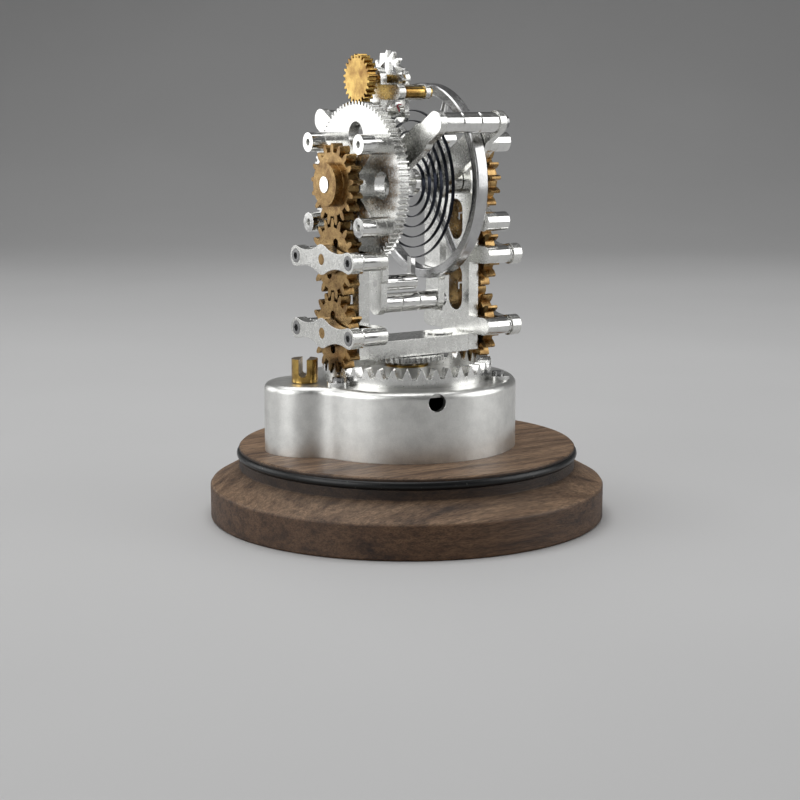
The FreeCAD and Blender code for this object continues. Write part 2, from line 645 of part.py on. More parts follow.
def around(radius, degrees):
    """Place at a radius and direction about the vertical axis, kept as expressions."""
    return radius * cosine(degrees), radius * sine(degrees)


nodes = []

# Wooden base with the rubber ring that the glass dome sits on
o_ring_radius = s.base_neck_radius - s.o_ring_sink
half_section = s.o_ring_section / 2


def torus(name, radius, section, z):
    item = doc.addObject("Part::Torus", name)
    bind(item, "Radius1", radius)
    bind(item, "Radius2", section)
    return place(item, z=z)


base_blank = turned("base_blank", [
    (0, 0), (s.base_radius - s.base_edge, 0), (s.base_radius, s.base_edge),
    (s.base_radius, s.base_foot_top - s.base_edge),
    (s.base_radius - s.base_edge, s.base_foot_top + s.base_edge / 2),
    (s.base_neck_radius, s.base_neck_bottom), (s.base_neck_radius, s.base_top - s.base_edge),
    (s.base_neck_radius - s.base_edge, s.base_top), (0, s.base_top)])
base_cuts = [torus("dome_groove", o_ring_radius, half_section - s.o_ring_squeeze, s.o_ring_height)]
base_screw_places = []
base_screw_angles = (0.0, 240.0, 330.0)
for number in range(3):
    x, y = around(s.base_screw_circle, base_screw_angles[number])
    base_cuts.append(disc("base_screw_hole_%d" % number, s.base_screw_radius + s.thread_gap, s.base_top, x, y))
    base_cuts.append(disc("base_screw_recess_%d" % number, s.base_screw_head + s.end_gap, s.base_screw_sink, x, y))
    base_screw_places.append((UP, x, y, s.base_screw_sink - s.base_screw_head_height))
nodes.append(cut("wood_base", base_blank, base_cuts))
nodes.append(torus("dome_o_ring", o_ring_radius, half_section, s.o_ring_height))
base_screw_end = floor_top - s.base_screw_sink + s.base_screw_head_height
base_screw = turned("base_screw", stack(
    (s.base_screw_head, 0, s.base_screw_head_height), (s.base_screw_radius, s.base_screw_head_height, base_screw_end)))
nodes.append(copies("base_screws", base_screw, base_screw_places))

# Casing: one round drum with the winding lobe, open below, closed by a floor plate
drum = float(s.casing_radius)
lobe = float(s.lobe_radius)
reach = float(s.lobe_distance)
wall = float(s.casing_wall)
blend = float(s.lobe_blend)
gap = float(s.floor_gap)
turn = float(s.lobe_angle)
outer_block = flat("casing_block", [joined_discs([(0, drum), (reach, lobe)], blend, turn)],
                   s.casing_height, z=s.base_top)
doc.recompute()
rounded = doc.addObject("Part::Fillet", "casing_rounded")
rounded.Base = outer_block
rounding = min(float(s.casing_rounding), 0.9 * wall)
rounded.Edges = [(index, rounding, rounding) for index, edge in enumerate(outer_block.Shape.Edges, start=1)
                 if edge.BoundBox.ZMin > float(casing_top) - 0.001]
shell = fuse("casing_shell", [rounded, disc("bearing_boss", s.boss_radius, s.boss_height, z=casing_top)])
cavity = flat("casing_cavity", [joined_discs([(0, drum - wall), (reach, lobe - wall)], blend + wall, turn)],
              ceiling - s.base_top, z=s.base_top)
post_angles = (20.0, 100.0, 285.0)
posts = [disc("post_%d" % number, s.post_radius, ceiling - floor_top, *around(s.post_circle, angle), z=floor_top)
         for number, angle in enumerate(post_angles)]
hollow = cut("casing_hollow", cavity, posts)
click_x = barrel_x + s.click_reach * cosine(s.click_angle)
click_y = barrel_y + s.click_reach * sine(s.click_angle)
spring_x = barrel_x + s.spring_stud_reach * cosine(s.spring_stud_angle)
spring_y = barrel_y + s.spring_stud_reach * sine(s.spring_stud_angle)
seat_depth = s.casing_top_wall / 2
casing_cuts = [
    hollow,
    disc("bush_seat", s.bush_radius, boss_top - ceiling, z=ceiling),
    disc("transfer_bore", s.gear_arbor_radius + s.running_gap, s.casing_top_wall, transfer_x, transfer_y, ceiling),
    disc("winder_bore", s.winder_arbor_radius + s.running_gap, s.casing_top_wall, winder_x, winder_y, ceiling),
    disc("barrel_arbor_seat", s.barrel_arbor_radius + s.running_gap, seat_depth, barrel_x, barrel_y, ceiling),
    disc("click_screw_seat", s.small_screw_radius, seat_depth, click_x, click_y, ceiling),
    disc("spring_stud_seat", s.small_screw_radius, seat_depth, spring_x, spring_y, ceiling),
]
port_x, port_y = around(s.casing_radius - 2 * s.casing_wall, s.port_angle)
port = disc("side_port", s.port_radius, 4 * s.casing_wall, port_x, port_y, s.port_height,
            FreeCAD.Rotation(Z_AXIS, FreeCAD.Vector(*[float(v) for v in around(1.0, float(s.port_angle))], 0)))
casing_cuts.append(port)
for number, angle in enumerate(post_angles):
    casing_cuts.append(disc("post_thread_%d" % number, clearance_hole, s.floor_screw_depth,
                            *around(s.post_circle, angle), z=floor_top))
lug_places = [around(s.lug_circle, s.lug_angle + 120.0 * number) for number in range(3)]
for number, (x, y) in enumerate(lug_places):
    casing_cuts.append(disc("lug_thread_%d" % number, s.small_screw_radius + s.thread_gap, s.casing_top_wall,
                            x, y, ceiling))
nodes.append(cut("casing", shell, casing_cuts))

floor_blank = flat("floor_blank", [joined_discs(
    [(0, drum - wall - gap), (reach, lobe - wall - gap)], blend + wall + gap, turn)], s.floor_thickness, z=s.base_top)
floor_cuts = []
for number in range(3):
    x, y = around(s.base_screw_circle, base_screw_angles[number])
    floor_cuts.append(disc("floor_thread_%d" % number, s.base_screw_radius + s.thread_gap, s.floor_thickness,
                           x, y, s.base_top))
floor_screw_places = []
for number, angle in enumerate(post_angles):
    x, y = around(s.post_circle, angle)
    floor_cuts.append(disc("floor_screw_hole_%d" % number, clearance_hole, s.floor_thickness, x, y, s.base_top))
    floor_cuts.append(disc("floor_screw_recess_%d" % number, s.screw_head + s.thread_gap, s.screw_head_height,
                           x, y, s.base_top))
    floor_screw_places.append((UP, x, y, s.base_top))
for word, radius, x, y in (("barrel", s.barrel_arbor_radius, barrel_x, barrel_y),
                           ("winder", s.winder_arbor_radius, winder_x, winder_y),
                           ("transfer", s.gear_arbor_radius, transfer_x, transfer_y)):
    floor_cuts.append(disc(word + "_foot", radius + s.running_gap, s.foot_depth, x, y, floor_top - s.foot_depth))
nodes.append(cut("casing_floor", floor_blank, floor_cuts))
floor_screw = turned("floor_screw", stack(
    (s.screw_head, 0, s.screw_head_height), (s.screw_radius, s.screw_head_height, s.floor_thickness + s.floor_screw_depth - s.end_gap)))
nodes.append(copies("floor_screws", floor_screw, floor_screw_places))

bush_bore = s.staff_radius + s.running_gap
rim_radius = s.boss_radius - s.bush_rim_inset
nodes.append(turned("centre_bearing", [
    (bush_bore, ceiling), (s.bush_radius, ceiling), (s.bush_radius, boss_top), (rim_radius, boss_top),
    (rim_radius, boss_top + s.bush_rim), (bush_bore, boss_top + s.bush_rim)]))

# Crown gear: a fixed ring whose radial teeth point up, held by three screw lugs
root_height = s.crown_pitch_height - s.crown_dedendum
teeth = round(float(s.crown_teeth))
rolling_radius = float(s.tower_pitch) * teeth / float(s.tower_teeth)


def crown_section(radius):
    """Tooth outline across a radius: straight flanks, the corners of the tip cut off."""
    scale = radius / rolling_radius
    slope = math.tan(math.radians(float(s.crown_flank)))
    corner = float(s.crown_corner)
    foot = -float(s.crown_dedendum) - corner
    tip = float(s.crown_addendum)
    half = float(s.crown_tooth_half)
    points = [(-(half - foot * slope), foot), (-(half - (tip - corner) * slope), tip - corner),
              (-(half - tip * slope) + corner, tip)]
    points += [(-width, height) for width, height in reversed(points)]
    height = float(s.crown_pitch_height)
    return Part.makePolygon([FreeCAD.Vector(radius, width * scale, height + rise)
                             for width, rise in points + points[:1]])


tooth_shape = Part.makeLoft([crown_section(float(s.crown_inner)), crown_section(float(s.crown_outer))], True, True)
crown_tooth_set = doc.addObject("Part::Feature", "crown_tooth_set")
tooth_copies = []
for number in range(teeth):
    copy = tooth_shape.copy()
    copy.rotate(ORIGIN, Z_AXIS, 360.0 * number / teeth)
    tooth_copies.append(copy)
crown_tooth_set.Shape = Part.makeCompound(tooth_copies)
crown_solids = [disc("crown_body", s.crown_outer, root_height - casing_top, z=casing_top), crown_tooth_set]
crown_cuts = [disc("crown_bore", s.crown_inner, s.drive_top, z=0)]
for number, (x, y) in enumerate(lug_places):
    crown_solids.append(disc("lug_%d" % number, s.lug_radius, s.lug_thickness, x, y, casing_top))
    crown_cuts.append(disc("lug_hole_%d" % number, s.small_screw_radius + s.thread_gap, s.lug_thickness, x, y, casing_top))
nodes.append(cut("crown_gear", fuse("crown_blank", crown_solids), crown_cuts))
lug_shank = s.casing_top_wall + s.lug_thickness - s.end_gap
lug_screw_top = lug_shank + s.lug_screw_head_height
lug_screw = cut("lug_screw", turned("lug_screw_body", stack(
    (s.small_screw_radius, 0, lug_shank), (s.lug_screw_head, lug_shank, lug_screw_top))), [
        block("lug_screw_slot", 2 * s.lug_screw_head, 2 * s.driver_slot_half, s.driver_slot_depth, -s.lug_screw_head,
              -s.driver_slot_half, lug_screw_top - s.driver_slot_depth)])
nodes.append(copies("crown_screws", lug_screw, [(UP, x, y, ceiling + s.end_gap) for x, y in lug_places]))

# Drive inside the casing: barrel, winding work and the transfer arbor
barrel_first = float(s.winder_angle)
drum_height = s.barrel_height - s.cover_thickness
drum_top = s.barrel_bottom + drum_height
foot_bottom = floor_top - s.foot_depth + s.end_gap
arbor_bore = s.barrel_arbor_radius + s.running_gap
barrel_body = fuse("barrel_body", [
    fine_gear("barrel_teeth_rim", s.barrel_teeth, s.barrel_module, barrel_first, s.barrel_rim, 0, z=s.barrel_bottom),
    disc("barrel_drum_wall", s.barrel_radius, drum_height, z=s.barrel_bottom)])
barrel = cut("barrel_drum", barrel_body, [
    disc("barrel_room", s.barrel_radius - s.barrel_wall, drum_height, z=s.barrel_bottom + s.barrel_wall),
    disc("barrel_bore", arbor_bore, s.barrel_wall, z=s.barrel_bottom)])
nodes.append(place(barrel, x=barrel_x, y=barrel_y))
nodes.append(ring("barrel_cover", s.barrel_radius, arbor_bore, s.cover_thickness, barrel_x, barrel_y, drum_top))
core_bottom = s.barrel_bottom + s.barrel_wall + s.end_gap
core_top = drum_top - s.end_gap
nodes.append(turned("barrel_arbor", stack(
    (s.barrel_arbor_radius, foot_bottom, core_bottom), (s.barrel_core_radius, core_bottom, core_top),
    (s.barrel_arbor_radius, core_top, ceiling + seat_depth - s.end_gap)), x=barrel_x, y=barrel_y))
spring_inner = float(s.barrel_core_radius + s.end_gap + s.mainspring_thickness / 2)
spring_outer = float(s.barrel_radius - s.barrel_wall - s.end_gap - s.mainspring_thickness / 2)
mainspring_half_turns = round(2 * float(s.mainspring_turns))
mainspring_pitch = (spring_outer - spring_inner) / (mainspring_half_turns / 2)
measured_gap("mainspring", spring_inner, mainspring_pitch, mainspring_half_turns, float(s.mainspring_thickness))
nodes.append(flat("mainspring", [spiral(spring_inner, mainspring_pitch, mainspring_half_turns,
                                        float(s.mainspring_thickness))],
                  core_top - core_bottom, x=barrel_x, y=barrel_y, z=core_bottom))
nodes.append(fine_gear("ratchet_wheel", s.ratchet_teeth, s.barrel_module, barrel_first, s.ratchet_thickness,
                       s.barrel_arbor_radius, x=barrel_x, y=barrel_y, z=ratchet_bottom))

winder_first = meshed(float(s.winder_angle), barrel_first, float(s.ratchet_teeth), float(s.winder_teeth))
nodes.append(fine_gear("winding_pinion", s.winder_teeth, s.barrel_module, winder_first, s.ratchet_thickness,
                       s.winder_arbor_radius, x=winder_x, y=winder_y, z=ratchet_bottom))
winder_base = casing_top + s.end_gap
winder_top = casing_top + s.winder_height
winder_blank = turned("winder_blank", stack(
    (s.winder_arbor_radius, foot_bottom, winder_base), (s.winder_radius, winder_base, winder_top)))
slot_middle = winder_top - s.winder_slot_depth + s.winder_slot_half
slot_length = 4 * s.winder_radius
slot_tool = fuse("slot_tool", [
    block("slot_sides", slot_length, 2 * s.winder_slot_half, s.winder_slot_depth,
          -2 * s.winder_radius, -s.winder_slot_half, slot_middle),
    disc("slot_round", s.winder_slot_half, slot_length, -2 * s.winder_radius, 0, slot_middle, ALONG_X)])
place(slot_tool, FreeCAD.Rotation(Z_AXIS, float(s.winder_slot_angle)))
nodes.append(place(cut("winding_arbor", winder_blank, [slot_tool]), x=winder_x, y=winder_y))

# The click rests just outside the ratchet tips; a thin spring stands against its tail
ratchet_tip = ratchet_pitch + TOOTH_HIGH * s.barrel_module
click_tip_reach = ratchet_tip + s.end_gap + s.click_beak
click_tip_x = barrel_x + click_tip_reach * cosine(s.click_tip_angle)
click_tip_y = barrel_y + click_tip_reach * sine(s.click_tip_angle)


def tapered(start, end, wide, narrow):
    """Outline of a lever: two round ends joined by straight flanks that touch both."""
    first = FreeCAD.Vector(float(start[0]), float(start[1]), 0)
    second = FreeCAD.Vector(float(end[0]), float(end[1]), 0)
    along = second - first
    lean = math.acos((wide - narrow) / along.Length)
    heading = math.atan2(along.y, along.x)

    def rim(centre, radius, angle):
        return centre + FreeCAD.Vector(math.cos(angle), math.sin(angle), 0) * radius

    high1, high2 = rim(first, wide, heading + lean), rim(second, narrow, heading + lean)
    low1, low2 = rim(first, wide, heading - lean), rim(second, narrow, heading - lean)
    return closed([line(high1, high2), arc(high2, rim(second, narrow, heading), low2), line(low2, low1),
                   arc(low1, rim(first, wide, heading + math.pi), high1)])


nodes.append(flat("click", [
    tapered((click_x, click_y), (click_tip_x, click_tip_y), float(s.click_radius), float(s.click_beak)),
    circle(s.small_screw_radius + s.running_gap, click_x, click_y)], s.ratchet_thickness, z=ratchet_bottom))
seat_end = ceiling + seat_depth - s.thread_gap
click_head_top = ratchet_bottom - s.thread_gap
nodes.append(turned("click_screw", stack(
    (s.click_screw_head, click_head_top - s.click_screw_head_height, click_head_top),
    (s.small_screw_radius, click_head_top, seat_end)), x=click_x, y=click_y))
# The free end of the strip stands one clearance outside the click's round end
strip_side = float(s.click_tip_angle) - 15.0
strip_offset = s.click_radius + s.end_gap + s.spring_strip_half
strip_end = (click_x + strip_offset * cosine(strip_side), click_y + strip_offset * sine(strip_side))
nodes.append(fuse("click_spring", [
    flat("click_strip", [tapered((spring_x, spring_y), strip_end, float(s.small_screw_radius),
                                 float(s.spring_strip_half))], s.ratchet_thickness, z=ratchet_bottom),
    disc("click_spring_stud", s.small_screw_radius, seat_end - ratchet_bottom, spring_x, spring_y, ratchet_bottom)]))

# Each wheel's first tooth follows from the wheel it meshes with, from the barrel outward
pinion_direction = math.degrees(math.atan2(float(transfer_y - barrel_y), float(transfer_x - barrel_x)))
pinion_first = meshed(pinion_direction, barrel_first, float(s.barrel_teeth), float(s.pinion_teeth))
transfer = fuse("transfer_arbor", [
    fine_gear("transfer_pinion", s.pinion_teeth, s.barrel_module, pinion_first, s.barrel_rim + 2 * s.end_gap, 0,
              z=s.barrel_bottom - s.end_gap),
    turned("transfer_shaft", stack((s.gear_arbor_radius, foot_bottom, s.drive_top)))])
nodes.append(place(transfer, x=transfer_x, y=transfer_y))
nodes.append(fine_gear("transfer_wheel", s.transfer_teeth, s.drive_module, transfer_angle, s.drive_thickness,
                       s.gear_arbor_radius, x=transfer_x, y=transfer_y, z=drive_bottom))

# Cage one: staff, drive wheel, beam, two towers
drive_first = meshed(transfer_angle + 180.0, transfer_angle, float(s.transfer_teeth), float(s.drive_teeth))
nodes.append(turned("cage_staff", stack(
    (s.staff_radius, ceiling + s.end_gap, s.beam_bottom), (s.staff_neck_radius, s.beam_bottom, beam_top))))
hub_bottom = boss_top + s.bush_rim + s.end_gap
drive_blank = fuse("drive_blank", [
    fine_gear("drive_teeth_disc", s.drive_teeth, s.drive_module, drive_first, s.drive_thickness, 0, z=drive_bottom),
    disc("drive_hub", s.bush_radius, s.beam_bottom - hub_bottom, z=hub_bottom)])
nodes.append(cut("cage_drive_wheel", drive_blank, [disc("drive_bore", s.staff_radius, s.beam_bottom - boss_top,
                                                        z=boss_top)]))

beam_blank = fuse("beam_blank", [
    block("beam_block", 2 * s.plate_inner, 2 * s.beam_half_width, s.beam_height,
          -s.plate_inner, -s.beam_half_width, s.beam_bottom),
    disc("beam_pad", s.beam_pad_radius, s.beam_pad_height, s.beam_pad_place, z=beam_top)])
beam_middle = (s.beam_bottom + beam_top) / 2
beam_cuts = [disc("staff_seat", s.staff_neck_radius, s.beam_height, z=s.beam_bottom)]
for side in (1, -1):
    beam_cuts.append(disc("beam_pin_hole_%d" % (side + 2), s.beam_pin_radius, s.beam_pin_depth + s.beam_pad_height,
                          s.beam_pad_place, side * s.beam_pin_spread, beam_top - s.beam_pin_depth))
beam_head_start = plate_outer - s.screw_head_height - s.beam_screw_sink
for side, rotation, word in ((1, RIGHT, "right"), (-1, LEFT, "left")):
    for spread in (1, -1):
        beam_cuts.append(disc("beam_thread_%s_%d" % (word, spread + 2), clearance_hole, s.beam_screw_reach,
                              side * (s.plate_inner - s.beam_screw_reach), spread * s.beam_screw_spread,
                              beam_middle, rotation))
nodes.append(cut("bottom_beam", beam_blank, beam_cuts))


def cap_screw(name, length):
    """Socket head screw along its own z, from the shank end at 0 to the head's outer face."""
    return socket_piece(name, length, s.screw_head, length + s.screw_head_height)


def socket_piece(name, shank, radius, end):
    """Shank from 0, then a thicker round end with a hexagon socket in its outer face."""
    blank = turned(name + "_blank", stack((s.screw_radius, 0, shank), (radius, shank, end)))
    return cut(name, blank, [hexagon(name + "_socket", s.screw_hex, s.screw_hex_depth, end - s.screw_hex_depth)])


def hexagon(name, half_width, depth, z):
    item = doc.addObject("Part::Prism", name)
    item.Polygon = 6
    bind(item, "Circumradius", half_width / math.cos(math.radians(30)))
    bind(item, "Height", depth)
    return place(item, z=z)


def stadium(name, reach, radius, thickness, y, z=0):
    """A bar along x with round ends, its middle at y."""
    return fuse(name, [block(name + "_bar", 2 * reach, 2 * radius, thickness, -reach, y - radius, z),
                       disc(name + "_end_1", radius, thickness, -reach, y, z),
                       disc(name + "_end_2", radius, thickness, reach, y, z)])


def upright_slot(name, low, high, half, thickness):
    """A slot along y with round ends, from low to high."""
    return fuse(name, [block(name + "_bar", 2 * half, high - low - 2 * half, thickness, -half, low + half),
                       disc(name + "_low", half, thickness, 0, low + half),
                       disc(name + "_high", half, thickness, 0, high - half)])


def spoke(name, degrees, length, half, thickness, z=0, y=0):
    """A bar from the middle outward in one direction of the own x-y plane."""
    bar = block(name, length, 2 * half, thickness, 0, 0, z, FreeCAD.Rotation(Z_AXIS, float(degrees)))
    return place(bar, bar.Placement.Rotation, half * sine(degrees), y - half * cosine(degrees), z)


rise_angle = math.degrees(math.atan2(float(s.upper_ear_rise), float(s.upper_ear_reach)))
ear_distance = s.upper_ear_reach / math.cos(math.radians(rise_angle))
upper_ears = [(side * s.upper_ear_reach, axis_three + level * s.upper_ear_rise)
              for side in (1, -1) for level in (1, -1)]
lower_ears = [(side * s.ear_reach, height) for side in (1, -1) for height in (axis_one, axis_two)]
blind_depth = s.plate_thickness - s.plate_web
shank_start = s.plate_inner + s.plate_web + s.end_gap
cap_pattern = cap_screw("cap_screw", bridge_outer + s.screw_proud - s.screw_head_height - shank_start)
beam_screw_start = s.plate_inner - s.beam_screw_reach + s.end_gap
beam_pattern = cap_screw("beam_screw", beam_head_start - beam_screw_start)
upper_shank = plate_outer - shank_start
upper_pillar_pattern = socket_piece("upper_pillar", upper_shank, s.upper_ear_radius,
                                    upper_shank + s.upper_pillar_length)
groove = s.pillar_groove
pillar_length = s.bridge_inner - plate_outer
groove_middle = s.pillar_groove_reach
pillar_pattern = turned("bridge_pillar", [
    (clearance_hole, 0), (s.ear_radius, 0), (s.ear_radius, groove_middle - groove),
    (s.ear_radius - groove, groove_middle), (s.ear_radius, groove_middle + groove),
    (s.ear_radius, pillar_length), (clearance_hole, pillar_length)])

pillar_places = []
bridge_screw_places = []
upper_pillar_places = []
beam_screw_places = []


def side_plate(side, rotation, word):
    """Upright strip with its ears, bearings and slots."""
    solids = [block(word + "_strip", 2 * s.plate_half_width, axis_three - s.plate_bottom, s.plate_thickness,
                    -s.plate_half_width, s.plate_bottom),
              disc(word + "_plate_top", s.bearing_boss, s.plate_thickness, y=axis_three)]
    cuts = []
    for level, height in (("low", axis_one), ("mid", axis_two)):
        solids.append(stadium("%s_%s_ears" % (word, level), s.ear_reach, s.ear_radius, s.plate_thickness, height))
        cuts.append(disc("%s_%s_bearing" % (word, level), arbor_hole, blind_depth, y=height, z=s.plate_web))
    for number, angle in enumerate((rise_angle, 180 - rise_angle, 180 + rise_angle, -rise_angle)):
        solids.append(spoke("%s_upper_arm_%d" % (word, number), angle, ear_distance, s.upper_arm_half,
                            s.plate_thickness, y=axis_three))
    for number, (x, y) in enumerate(upper_ears):
        solids.append(disc("%s_upper_ear_%d" % (word, number), s.upper_ear_radius, s.plate_thickness, x, y))
    for number, (x, y) in enumerate(upper_ears + lower_ears):
        cuts.append(disc("%s_ear_hole_%d" % (word, number), clearance_hole, blind_depth, x, y, s.plate_web))
    for spread in (1, -1):
        x = spread * s.beam_screw_spread
        cuts.append(disc("%s_beam_hole_%d" % (word, spread + 2), clearance_hole, s.plate_thickness, x, beam_middle))
        cuts.append(disc("%s_beam_recess_%d" % (word, spread + 2), s.screw_head + s.thread_gap, s.plate_thickness,
                         x, beam_middle, beam_head_start - s.plate_inner))
    cuts.append(disc(word + "_trunnion_bearing", s.trunnion_radius + s.running_gap, s.plate_thickness, y=axis_three))
    cuts.append(upright_slot(word + "_low_slot", axis_one + s.slot_web, axis_two - s.slot_web, s.slot_half_width,
                             s.plate_thickness))
    cuts.append(upright_slot(word + "_high_slot", axis_two + s.slot_web, axis_three - s.slot_top_web,
                             s.slot_half_width, s.plate_thickness))
    plate = cut(word + "_side_plate", fuse(word + "_plate_blank", solids), cuts)
    return place(plate, rotation, x=side * s.plate_inner)


def bridge(name, side, rotation, height):
    """Outer bearing bridge: round boss, two round ears, hollow flanks, sunk screw heads."""
    reach = float(s.ear_reach)
    ear = float(s.bridge_ear)
    outline = joined_discs([(-reach, ear), (0, float(s.bridge_boss)), (reach, ear)], float(s.bridge_blend))
    holes = [disc(name + "_bearing", arbor_hole, s.bridge_thickness)]
    for end in (1, -1):
        x = end * s.ear_reach
        holes.append(disc("%s_hole_%d" % (name, end + 2), clearance_hole, s.bridge_thickness, x))
        holes.append(disc("%s_recess_%d" % (name, end + 2), s.screw_head + s.thread_gap, s.bridge_thickness, x, 0,
                          s.bridge_thickness - s.screw_head_height + s.screw_proud))
    item = cut(name, flat(name + "_blank", [outline], s.bridge_thickness), holes)
    return place(item, rotation, x=side * s.bridge_inner, z=height)


arbor_hole = s.gear_arbor_radius + s.running_gap
for side, rotation, word in ((1, RIGHT, "right"), (-1, LEFT, "left")):
    nodes.append(side_plate(side, rotation, word))
    nodes.append(bridge("lower_%s_bridge" % word, side, rotation, axis_one))
    nodes.append(bridge("middle_%s_bridge" % word, side, rotation, axis_two))
    for x, y in lower_ears:
        pillar_places.append((rotation, side * plate_outer, side * x, y))
        bridge_screw_places.append((rotation, side * shank_start, side * x, y))
    for x, y in upper_ears:
        upper_pillar_places.append((rotation, side * shank_start, side * x, y))
    for spread in (1, -1):
        beam_screw_places.append((rotation, side * beam_screw_start, spread * s.beam_screw_spread, beam_middle))

nodes.append(copies("bridge_pillars", pillar_pattern, pillar_places))
nodes.append(copies("upper_pillars", upper_pillar_pattern, upper_pillar_places))
nodes.append(group("cage_screws", [copies("bridge_screws", cap_pattern, bridge_screw_places),
                                   copies("beam_screws", beam_pattern, beam_screw_places)]))

# Tower gears: every gear has a tooth straight up and a gap straight down
tower_teeth = round(float(s.tower_teeth))


def tower_wheel(name, bore, hole_angles, z=0):
    outlines = [toothed(tower_teeth, float(s.tower_pitch), float(s.tower_addendum), float(s.tower_dedendum),
                        float(s.tower_tooth_share), 90.0), circle(bore)]
    for angle in hole_angles:
        centre = polar(float(s.gear_hole_circle), angle)
        outlines.append(circle(s.gear_hole_radius, centre.x, centre.y))
    return flat(name, outlines, s.gear_thickness, z=z)


def arbor_gear(name, side, rotation, height, hole_tooth):
    """Gear and arbor in one piece; the first lightening hole is behind the tooth with that number."""
    gear_at = s.gear_inner_face - shank_start
    hub_end = s.bridge_inner - s.end_gap - shank_start
    first_hole = 90.0 - 360.0 * hole_tooth / tower_teeth
    wheel = tower_wheel(name + "_wheel", s.gear_arbor_radius, [first_hole + 90.0 * n for n in range(4)], gear_at)
    arbor = turned(name + "_arbor", stack(
        (s.gear_arbor_radius, 0, gear_at), (s.gear_hub_radius, gear_at, hub_end),
        (s.gear_arbor_radius, hub_end, bridge_outer - shank_start - s.thread_gap)))
    return place(fuse(name, [wheel, arbor]), rotation, x=side * shank_start, z=height)


def upper_gear(name, side, rotation, bore):
    """Gear with a hub for the trunnion."""
    length = s.gear_thickness + s.upper_hub_length
    blank = fuse(name + "_blank", [tower_wheel(name + "_wheel", bore, []),
                                   disc(name + "_hub", s.trunnion_radius + s.upper_hub_wall, length)])
    item = cut(name, blank, [disc(name + "_bore", bore, length)])
    return place(item, rotation, x=side * s.gear_inner_face, z=axis_three)


for side, rotation, word in ((1, RIGHT, "right"), (-1, LEFT, "left")):
    nodes.append(arbor_gear("lower_%s_gear" % word, side, rotation, axis_one, 0))
    nodes.append(arbor_gear("middle_%s_gear" % word, side, rotation, axis_two, 1))
nodes.append(upper_gear("upper_left_gear", -1, LEFT, s.trunnion_radius))
nodes.append(upper_gear("upper_right_gear", 1, RIGHT, s.trunnion_radius + s.running_gap))

# Fixed side gear on the left plate: the escape pinion rolls round it
fixed_outlines = [toothed(round(float(s.fixed_teeth)), float(s.fixed_module * s.fixed_teeth) / 2,
                          TOOTH_HIGH * float(s.fixed_module), TOOTH_DEEP * float(s.fixed_module), FINE_SHARE, 90.0),
                  circle(s.fixed_bore)]
for number in range(4):
    centre = polar(float(s.fixed_window_circle), 90.0 * number)
    fixed_outlines.append(circle(s.fixed_window_radius, centre.x, centre.y))
nodes.append(flat("fixed_side_gear", fixed_outlines, s.fixed_thickness, LEFT,
                  x=s.fixed_thickness - s.plate_inner, z=axis_three))

# Cage two: two arm plates and three pillars, with trunnions in the towers
arm_angles = (270.0, 30.0, 150.0)
left_inner = s.cage_two_left + s.arm_thickness
right_outer = s.cage_two_right + s.arm_thickness
span = s.cage_two_right - left_inner
escape_reach = s.fixed_module * (s.fixed_teeth + s.escape_pinion_teeth) / 2
pallet_distance = s.escape_tip / cosine(s.pallet_angle)
pallet_reach = escape_reach - pallet_distance
pivot_bore = s.pivot_radius + s.running_gap


def arm_plate(word, trunnion_bottom, jewel_bottom):
    """Solids and cuts of three arms round a hub, each a wide bar and a narrower round end."""
    solids = [disc(word + "_hub", s.arm_hub_radius, s.arm_thickness)]
    cuts = [disc(word + "_trunnion_seat", s.trunnion_radius, s.trunnion_depth, z=trunnion_bottom),
            disc(word + "_jewel_seat", s.jewel_radius, s.jewel_thickness, z=jewel_bottom)]
    steps = (("wide", s.arm_wide_reach, s.arm_half_width), ("end", s.arm_reach, s.arm_end_radius))
    for number, angle in enumerate(arm_angles):
        for step, reach, half in steps:
            label = "%s_arm_%s_%d" % (word, step, number)
            x, y = around(reach, angle)
            solids.append(spoke(label, angle, reach, half, s.arm_thickness))
            solids.append(disc(label + "_round", half, s.arm_thickness, x, y))
    return solids, cuts


solids, cuts = arm_plate("left", 0, s.arm_thickness - s.jewel_thickness)
for number, angle in enumerate(arm_angles):
    x, y = around(s.arm_reach, angle)
    cuts.append(disc("spigot_hole_%d" % number, s.small_screw_radius, s.pillar_spigot, x, y,
                     s.arm_thickness - s.pillar_spigot))
solids += [spoke("left_bracket", 90.0, escape_reach, s.arm_end_radius, s.arm_thickness),
           disc("left_bracket_end", s.arm_end_radius, s.arm_thickness, y=escape_reach),
           stadium("left_cross_bar", s.cock_post_spread, s.cross_bar_half, s.arm_thickness, s.cock_post_reach)]
cuts += [disc("escape_arbor_bore", s.escape_arbor_radius + s.running_gap, s.arm_thickness, y=escape_reach),
         disc("pallet_pivot_bore", pivot_bore, s.arm_thickness, y=pallet_reach),
         disc("stud_seat", s.small_screw_radius, s.arm_thickness, y=-s.stud_reach)]
left_plate = cut("cage_two_left_plate", fuse("left_arm_blank", solids), cuts)
nodes.append(place(left_plate, RIGHT, x=s.cage_two_left, z=axis_three))
solids, cuts = arm_plate("right", s.arm_thickness - s.trunnion_depth, 0)
for number, angle in enumerate(arm_angles):
    x, y = around(s.arm_reach, angle)
    cuts.append(disc("right_arm_hole_%d" % number, clearance_hole, s.arm_thickness, x, y))
    cuts.append(disc("right_arm_recess_%d" % number, s.screw_head + s.thread_gap, s.cage_screw_sink,
                     x, y, s.arm_thickness - s.cage_screw_sink))
right_plate = cut("cage_two_right_plate", fuse("right_arm_blank", solids), cuts)
nodes.append(place(right_plate, RIGHT, x=s.cage_two_right, z=axis_three))

